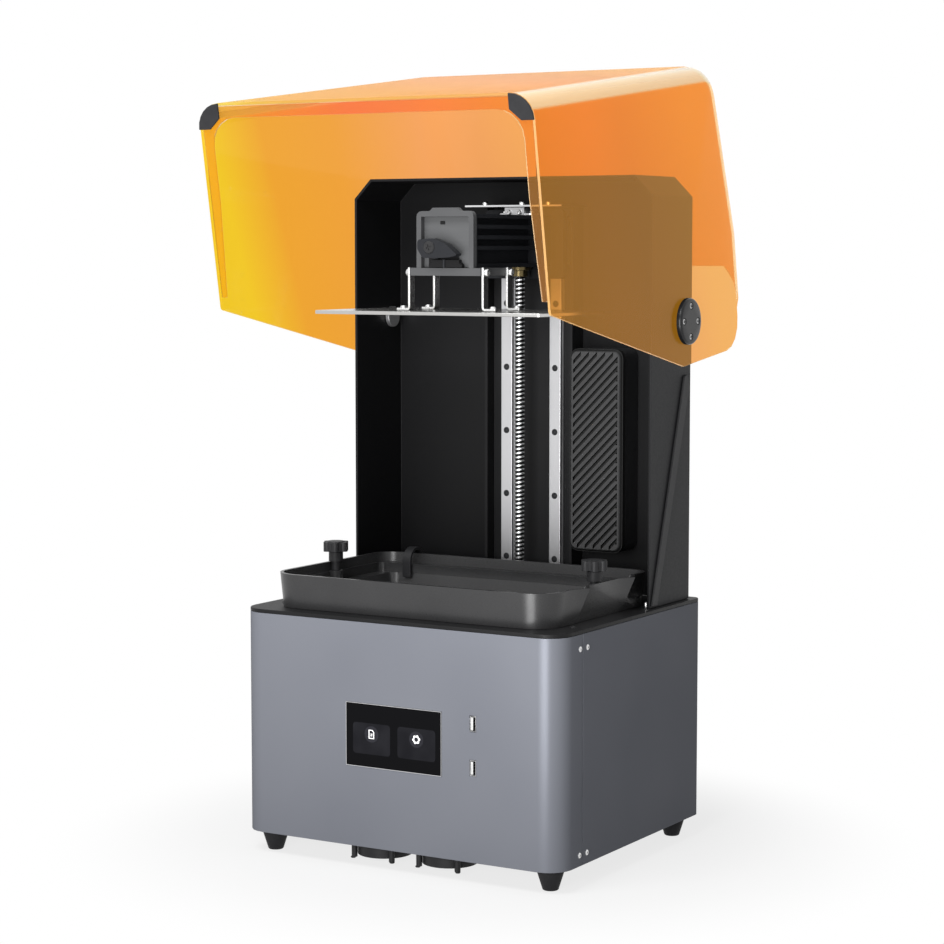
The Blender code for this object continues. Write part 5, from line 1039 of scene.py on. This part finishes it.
# %% Hinge discs
DISC_POINTS = 48
DISC_BORE = 0.0101
DISC_BORE_DEPTH = 0.0034
DISC_EDGE = 0.0022
DISC_EDGE_STEPS = 3
CONE_MOUTH = 0.0035
CONE_FLOOR = 0.0027
CONE_DEPTH = 0.0011
DISC_SCREW_REACH = 0.0142
DISC_HEAD_SHARE = 0.92
DISC_HEAD = 0.0006
SOCKET_RADIUS = 0.0017
SOCKET_SKIN = 0.00005


def holed_disc(radius, thickness):
    """Disc about Z from 0 to its thickness, with a bore below and four cones in its top face."""
    rings = [ring(DISC_BORE, DISC_BORE_DEPTH, DISC_POINTS), ring(DISC_BORE, 0, DISC_POINTS)]
    rings += [ring(radius, 0, DISC_POINTS), ring(radius, thickness - DISC_EDGE, DISC_POINTS)]
    for step in range(1, DISC_EDGE_STEPS + 1):
        turn = math.pi / 2 * step / DISC_EDGE_STEPS
        inward = DISC_EDGE * (1 - math.cos(turn))
        rings.append(ring(radius - inward, thickness - DISC_EDGE * (1 - math.sin(turn)), DISC_POINTS))
    shapes = [lofted(rings, close_end=False)]
    cone = lofted([ring(CONE_MOUTH, thickness), ring(CONE_FLOOR, thickness - CONE_DEPTH)], close_start=False)
    for x, y in QUARTERS:
        shapes.append(set_at(cone, (DISC_SCREW_REACH * x, DISC_SCREW_REACH * y, 0)))
    points, faces = gathered(shapes)
    shell = bmesh.new()
    corners = [shell.verts.new(point) for point in points]
    for face in faces:
        shell.faces.new([corners[corner] for corner in face])
    mouths = [edge for edge in shell.edges if edge.is_boundary]
    bmesh.ops.triangle_fill(shell, edges=mouths, use_beauty=True, normal=(0, 0, 1))
    shell.verts.index_update()
    filled = [tuple(vert.index for vert in face.verts) for face in shell.faces]
    points = [tuple(vert.co) for vert in shell.verts]
    shell.free()
    return points, filled


disc_gloss = Finish("disc_gloss", (0.012, 0.012, 0.013), 0.24, Specular_IOR_Level=0.3)
disc_gloss.skin(0.003, rough=(0.2, 0.28), depth=0.00001, detail=3.0)
disc_head = screw_head(radius=CONE_FLOOR * DISC_HEAD_SHARE, height=DISC_HEAD, recess=hex_outline(0.0015),
                       dome=0.95)
# Painted shade: a thin black spot in each head stands for its deep socket.
socket_shade_spot = slab(circle(SOCKET_RADIUS), SOCKET_SKIN)
for side, name in ((-1, "left"), (1, "right")):
    low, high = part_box("hinge_disc_" + name)
    disc_radius = (high.y - low.y) / 2
    disc_thickness = high.x - low.x
    inner = low.x if side > 0 else high.x
    outward = Vector((side, 0, 0))
    disc_spot = Vector((inner, (low.y + high.y) / 2, (low.z + high.z) / 2))
    disc = set_at(holed_disc(disc_radius, disc_thickness), disc_spot, outward)
    disc_piece = add_piece("hood_disc_" + name, disc, "disc_gloss", "hood")
    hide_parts("hinge_disc_" + name)
    disc_screws = []
    socket_shade_spots = []
    for y, z in QUARTERS:
        reach = Vector((side * (disc_thickness - CONE_DEPTH), y * DISC_SCREW_REACH, z * DISC_SCREW_REACH))
        disc_screws.append(set_at(disc_head, disc_spot + reach, outward, turn=0.2))
        socket_shade_spots.append(set_at(socket_shade_spot, disc_spot + reach + outward * DISC_HEAD, outward))
    add_piece("disc_screws_" + name, gathered(disc_screws), "bolt_silver", "hood")
    add_piece("socket_shade_spots_" + name, gathered(socket_shade_spots), "bolt_black", "hood")
print("disc radius", round(disc_radius, 4), "screws", 2 * len(disc_screws))

# %% [markdown]
# ## The display
#
# The touch display is a black glass with a thin bright trim. Lit, it shows two soft tiles, one for files
# and one for settings. They could be painted with a mask in the glass, but a mask has no edge of its own
# from the side, so the tiles, the round fields and the icons are thin plates, stacked on the glass, and
# the icons glow.

# %% Display trim
GLASS_WIDTH = 0.0997
GLASS_HEIGHT = 0.0570
TRIM_WIDTH = 0.0004
TRIM_PROUD = 0.00025
TRIM_OUTER_CORNER = 0.0008
TRIM_INNER_CORNER = 0.0004
panel_low, panel_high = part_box("display_panel")
glass_x = (panel_low.x + panel_high.x) / 2
glass_z = (panel_low.z + panel_high.z) / 2


def frame_between(outer, inner, height):
    """Closed frame between two outlines with as many points each."""
    rings = [at_height(outer, 0), at_height(outer, height), at_height(inner, height), at_height(inner, 0)]
    points, faces = lofted(rings, close_start=False, close_end=False)
    count = len(outer)
    last = 3 * count
    faces += [(last + step, last + (step + 1) % count, (step + 1) % count, step) for step in range(count)]
    return points, faces


def on_glass(shape, share_x, share_z, level):
    """A plate stood on the glass, its place given as shares of the glass from the top left."""
    x = glass_x + (share_x - 0.5) * GLASS_WIDTH
    z = glass_z + (0.5 - share_z) * GLASS_HEIGHT
    return set_at(shape, (x, panel_low.y - level, z), (0, -1, 0))


trim_outer = plate_outline(GLASS_WIDTH + TRIM_WIDTH, GLASS_HEIGHT + TRIM_WIDTH, TRIM_OUTER_CORNER)
trim_inner = plate_outline(GLASS_WIDTH - TRIM_WIDTH, GLASS_HEIGHT - TRIM_WIDTH, TRIM_INNER_CORNER)
trim = on_glass(frame_between(trim_outer, trim_inner, TRIM_PROUD), 0.5, 0.5, 0)
add_piece("display_trim", trim, "silver_sheet", "base")
print("display", GLASS_WIDTH, "by", GLASS_HEIGHT, "m")

# %% Display tiles
LAYER = 0.00006
TILE_SHARES = ((0.270, 0.550), (0.742, 0.548))
TILE_WIDTH = 0.0393
TILE_HEIGHT = 0.0280
TILE_CORNER = 0.003
FIELD_RADIUS = 0.0073
ICON_RISE = 0.075
tile_glass = Finish("tile_glass", (0.014, 0.014, 0.017), 0.12, Specular_IOR_Level=0.08)
tile_glass.mottle(0.02, (0.010, 0.010, 0.013), (0.018, 0.018, 0.022), detail=1.0)
tile_glass.rough(tile_glass.grain(0.004, detail=3.0), 0.08, 0.16)
field_glass = Finish("field_glass", (0.031, 0.031, 0.038), 0.12, Specular_IOR_Level=0.08)
field_glass.mottle(0.01, (0.026, 0.026, 0.032), (0.036, 0.036, 0.044), detail=1.0)
field_glass.rough(field_glass.grain(0.004, detail=3.0), 0.08, 0.16)
tile = slab(plate_outline(TILE_WIDTH, TILE_HEIGHT, TILE_CORNER), LAYER)
field = slab(circle(FIELD_RADIUS), LAYER)
icon_shares = [(share_x, share_z - ICON_RISE) for share_x, share_z in TILE_SHARES]
tiles = [on_glass(tile, share_x, share_z, 0) for share_x, share_z in TILE_SHARES]
fields = [on_glass(field, share_x, share_z, LAYER) for share_x, share_z in icon_shares]
add_piece("display_tiles", gathered(tiles), "tile_glass", "base")
add_piece("display_fields", gathered(fields), "field_glass", "base")
print("display tiles", len(tiles), "fields", len(fields))

# %% Display icons
PAGE_OUTER = ((-0.0029, -0.0040), (0.0029, -0.0040), (0.0029, 0.0021), (0.0010, 0.0040), (-0.0029, 0.0040))
PAGE_INNER = ((-0.0021, -0.0032), (0.0021, -0.0032), (0.0021, 0.0018), (0.0007, 0.0032), (-0.0021, 0.0032))
PAGE_LINE = (0.0022, 0.0007, 0.0002)
PAGE_LINE_DROPS = (-0.004, 0.022)
GEAR_TIP = 0.0041
GEAR_ROOT = 0.0034
GEAR_HOLE = 0.0021
GEAR_TOOTH_STEPS = 4
icon_light = Finish("icon_light", (0.85, 0.85, 0.85), 0.3, Emission_Color=WHITE, Emission_Strength=0.75)
icon_light.mottle(0.0006, (0.80, 0.80, 0.80), (0.90, 0.90, 0.90))
page_share, gear_share = icon_shares
page = frame_between(PAGE_OUTER, PAGE_INNER, LAYER)
page_line = slab(plate_outline(*PAGE_LINE), LAYER)
gear_outer = []
for step in range(-1, RING_POINTS - 1):
    reach = GEAR_TIP if step % GEAR_TOOTH_STEPS < GEAR_TOOTH_STEPS / 2 else GEAR_ROOT
    turn = math.tau * step / RING_POINTS
    gear_outer.append((reach * math.cos(turn), reach * math.sin(turn)))
gear = frame_between(gear_outer, circle(GEAR_HOLE), LAYER)
icons = [on_glass(page, *page_share, 2 * LAYER), on_glass(gear, *gear_share, 2 * LAYER)]
for drop in PAGE_LINE_DROPS:
    icons.append(on_glass(page_line, page_share[0], page_share[1] + drop, 2 * LAYER))
add_piece("display_icons", gathered(icons), "icon_light", "base")
print("display icons", len(icons))

# %% [markdown]
# ## Sockets, inlet and switch
#
# A USB socket shows a pale tongue, and metal contacts in its dark mouth. Both could be painted on a flat
# lid, but from the side the mouth has to look deep, so each steel shell gets a tongue, four springs, and
# black liners that paint the shade inside the mouth. The power inlet at the back has three pins, and the
# rocker carries the usual stroke and ring, which tilt with it.

# %% Socket insides
MOUTH_WIDTH = 0.0051
MOUTH_HEIGHT = 0.0129
LINER = 0.0002
LINER_CORNER = 0.0002
BACK_CORNER = 0.0003
TONGUE_DEPTH = 0.0100
TONGUE_WIDTH = 0.0021
TONGUE_HEIGHT = 0.0113
TONGUE_CORNER = 0.0004
TONGUE_X = -0.0011
TONGUE_SET_BACK = 0.0003
TONGUE_LINER = (0.0090, 0.0109)
SPRING_SIZE = (0.0080, 0.0012)
SPRING_CORNER = 0.0003
SPRING_THICKNESS = 0.0002
SPRING_LIFTS = (-0.0039, -0.0013, 0.0013, 0.0039)
tongue_white = Finish("tongue_white", (0.80, 0.80, 0.79), 0.4)
tongue_white.mottle(0.002, (0.74, 0.74, 0.73), (0.86, 0.86, 0.85))
# Painted shade: black liners on the back, one wall and the tongue's contact face stand for the dark inside
# of the mouth.
back_shade_liner = slab(plate_outline(MOUTH_WIDTH, MOUTH_HEIGHT, BACK_CORNER), LINER)
wall_shade_liner = slab(plate_outline(TONGUE_DEPTH, MOUTH_HEIGHT - LINER, LINER_CORNER), LINER)
tongue_shade_liner = slab(plate_outline(*TONGUE_LINER, LINER_CORNER), LINER)
tongue = slab(plate_outline(TONGUE_WIDTH, TONGUE_HEIGHT, TONGUE_CORNER), TONGUE_DEPTH - TONGUE_SET_BACK)
spring = slab(plate_outline(*SPRING_SIZE, SPRING_CORNER), SPRING_THICKNESS)
shade_liners = []
tongues = []
springs = []
for socket in ("usb_socket_lower", "usb_socket_upper"):
    low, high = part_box(socket)
    mouth = Vector(((low.x + high.x) / 2, low.y, (low.z + high.z) / 2))
    wall_spot = mouth + Vector((MOUTH_WIDTH / 2, TONGUE_DEPTH / 2 + LINER, 0))
    face_spot = mouth + Vector((TONGUE_X + TONGUE_WIDTH / 2, TONGUE_DEPTH / 2 + TONGUE_SET_BACK, 0))
    shade_liners.append(set_at(back_shade_liner, mouth + Vector((0, TONGUE_DEPTH + 2 * LINER, 0)), (0, -1, 0)))
    shade_liners.append(set_at(wall_shade_liner, wall_spot, (-1, 0, 0)))
    shade_liners.append(set_at(tongue_shade_liner, face_spot, (1, 0, 0)))
    tongues.append(set_at(tongue, mouth + Vector((TONGUE_X, TONGUE_DEPTH, 0)), (0, -1, 0)))
    for lift in SPRING_LIFTS:
        springs.append(set_at(spring, face_spot + Vector((LINER, TONGUE_SET_BACK, lift)), (1, 0, 0)))
add_piece("usb_shade_liners", gathered(shade_liners), "black_plastic", "base")
add_piece("usb_tongues", gathered(tongues), "tongue_white", "base")
add_piece("usb_contacts", gathered(springs), "bolt_silver", "base")
print("socket pieces", len(shade_liners), len(tongues), len(springs))

# %% Inlet pins
PIN_FLOOR = 0.0155
PIN_LENGTH = 0.0125
PIN_TIP = 0.001
PIN_WIDTH = 0.0020
PIN_HEIGHT = 0.0040
PIN_CORNER = 0.0004
PIN_TIP_SHARES = (0.7, 0.8)
PIN_SPOTS = ((-0.007, 0.0098), (0, 0.0134), (0.007, 0.0098))
inlet_low, inlet_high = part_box("power_inlet")
inlet_x = (inlet_low.x + inlet_high.x) / 2
pin_outline = plate_outline(PIN_WIDTH, PIN_HEIGHT, PIN_CORNER)
pin_tip = [(x * PIN_TIP_SHARES[0], y * PIN_TIP_SHARES[1]) for x, y in pin_outline]
pin = lofted([at_height(pin_outline, 0), at_height(pin_outline, PIN_LENGTH - PIN_TIP),
              at_height(pin_tip, PIN_LENGTH)])
pins = []
for x, rise in PIN_SPOTS:
    pins.append(set_at(pin, (inlet_x + x, inlet_high.y - PIN_FLOOR, inlet_low.z + rise), (0, 1, 0)))
add_piece("inlet_pins", gathered(pins), "bolt_silver", "base")
print("inlet pins", len(pins))

# %% Rocker marks
ROCKER_DIP = (0.0026, -0.0003)
ROCKER_LOWER_END = (0.0033, -0.0079)
ROCKER_UPPER_END = (0.0051, 0.0068)
MARK_PROUD = 0.00008
STROKE_WIDTH = 0.0007
STROKE_LENGTH = 0.0040
STROKE_CORNER = 0.0003
RING_OUTER = 0.0020
RING_INNER = 0.0014
rocker_axle = axle_of("rocker_tilt")
stroke = slab(plate_outline(STROKE_WIDTH, STROKE_LENGTH, STROKE_CORNER), MARK_PROUD)
off_ring = frame_between(circle(RING_OUTER), circle(RING_INNER), MARK_PROUD)
rocker_dip = Vector((inlet_x, rocker_axle.y + ROCKER_DIP[0], rocker_axle.z + ROCKER_DIP[1]))
marks = []
for (out, up), mark in ((ROCKER_LOWER_END, off_ring), (ROCKER_UPPER_END, stroke)):
    end = Vector((inlet_x, rocker_axle.y + out, rocker_axle.z + up))
    along = (end - rocker_dip).normalized()
    outward = Vector((0, abs(along.z), -along.y * math.copysign(1, along.z)))
    marks.append(set_at(mark, (rocker_dip + end) / 2, outward))
add_piece("rocker_marks", gathered(marks), "tongue_white", "rocker")
print("rocker marks", len(marks))

# %% [markdown]
# ## Screws at the back and below
#
# The photograph never shows the back or the bottom, but both will be seen. The rear cover, the tower's
# back and the bottom plate get plain black screws where sheet metal needs them, near corners and edges,
# and the fans are held at their four corners.

# %% Back screws
EDGE_INSET = 0.014
TOWER_SCREW_SHARES = (0.06, 0.35, 0.64, 0.93)
plain_head = screw_head(radius=0.0028, height=0.0013, recess=cross_outline(0.0016, 0.00035), dome=0.86)
back_screws = []
for side in (-1, 1):
    cover_x = side * (rear_high.x - EDGE_INSET)
    tower_x = side * (tower_high.x - EDGE_INSET)
    for z in (rear_low.z + EDGE_INSET, rear_high.z - EDGE_INSET):
        back_screws.append(set_at(plain_head, (cover_x, rear_high.y, z), (0, 1, 0), turn=0.3))
    for share in TOWER_SCREW_SHARES:
        z = tower_low.z + share * (tower_high.z - tower_low.z)
        back_screws.append(set_at(plain_head, (tower_x, tower_high.y, z), (0, 1, 0), turn=0.7))
add_piece("back_screws", gathered(back_screws), "bolt_black", "base")
print("back screws", len(back_screws))

# %% Bottom screws
BOTTOM_SCREWS_X = (-0.1, 0.0, 0.1)
BOTTOM_SCREW_INSET = 0.007
FAN_SCREW_INSET = 0.0042
bottom_low, bottom_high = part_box("bottom_plate")
fan_head = screw_head(radius=0.0024, height=0.0012, recess=cross_outline(0.0014, 0.0003), dome=0.86)
bottom_screws = []
for x in BOTTOM_SCREWS_X:
    for y in (bottom_low.y + BOTTOM_SCREW_INSET, bottom_high.y - BOTTOM_SCREW_INSET):
        bottom_screws.append(set_at(plain_head, (x, y, bottom_low.z), (0, 0, -1), turn=0.5))
for fan in ("fan_frame_left", "fan_frame_right"):
    low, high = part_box(fan)
    for x in (low.x + FAN_SCREW_INSET, high.x - FAN_SCREW_INSET):
        for y in (low.y + FAN_SCREW_INSET, high.y - FAN_SCREW_INSET):
            bottom_screws.append(set_at(fan_head, (x, y, low.z), (0, 0, -1), turn=0.2))
add_piece("bottom_screws", gathered(bottom_screws), "bolt_black", "base")
print("bottom screws", len(bottom_screws))
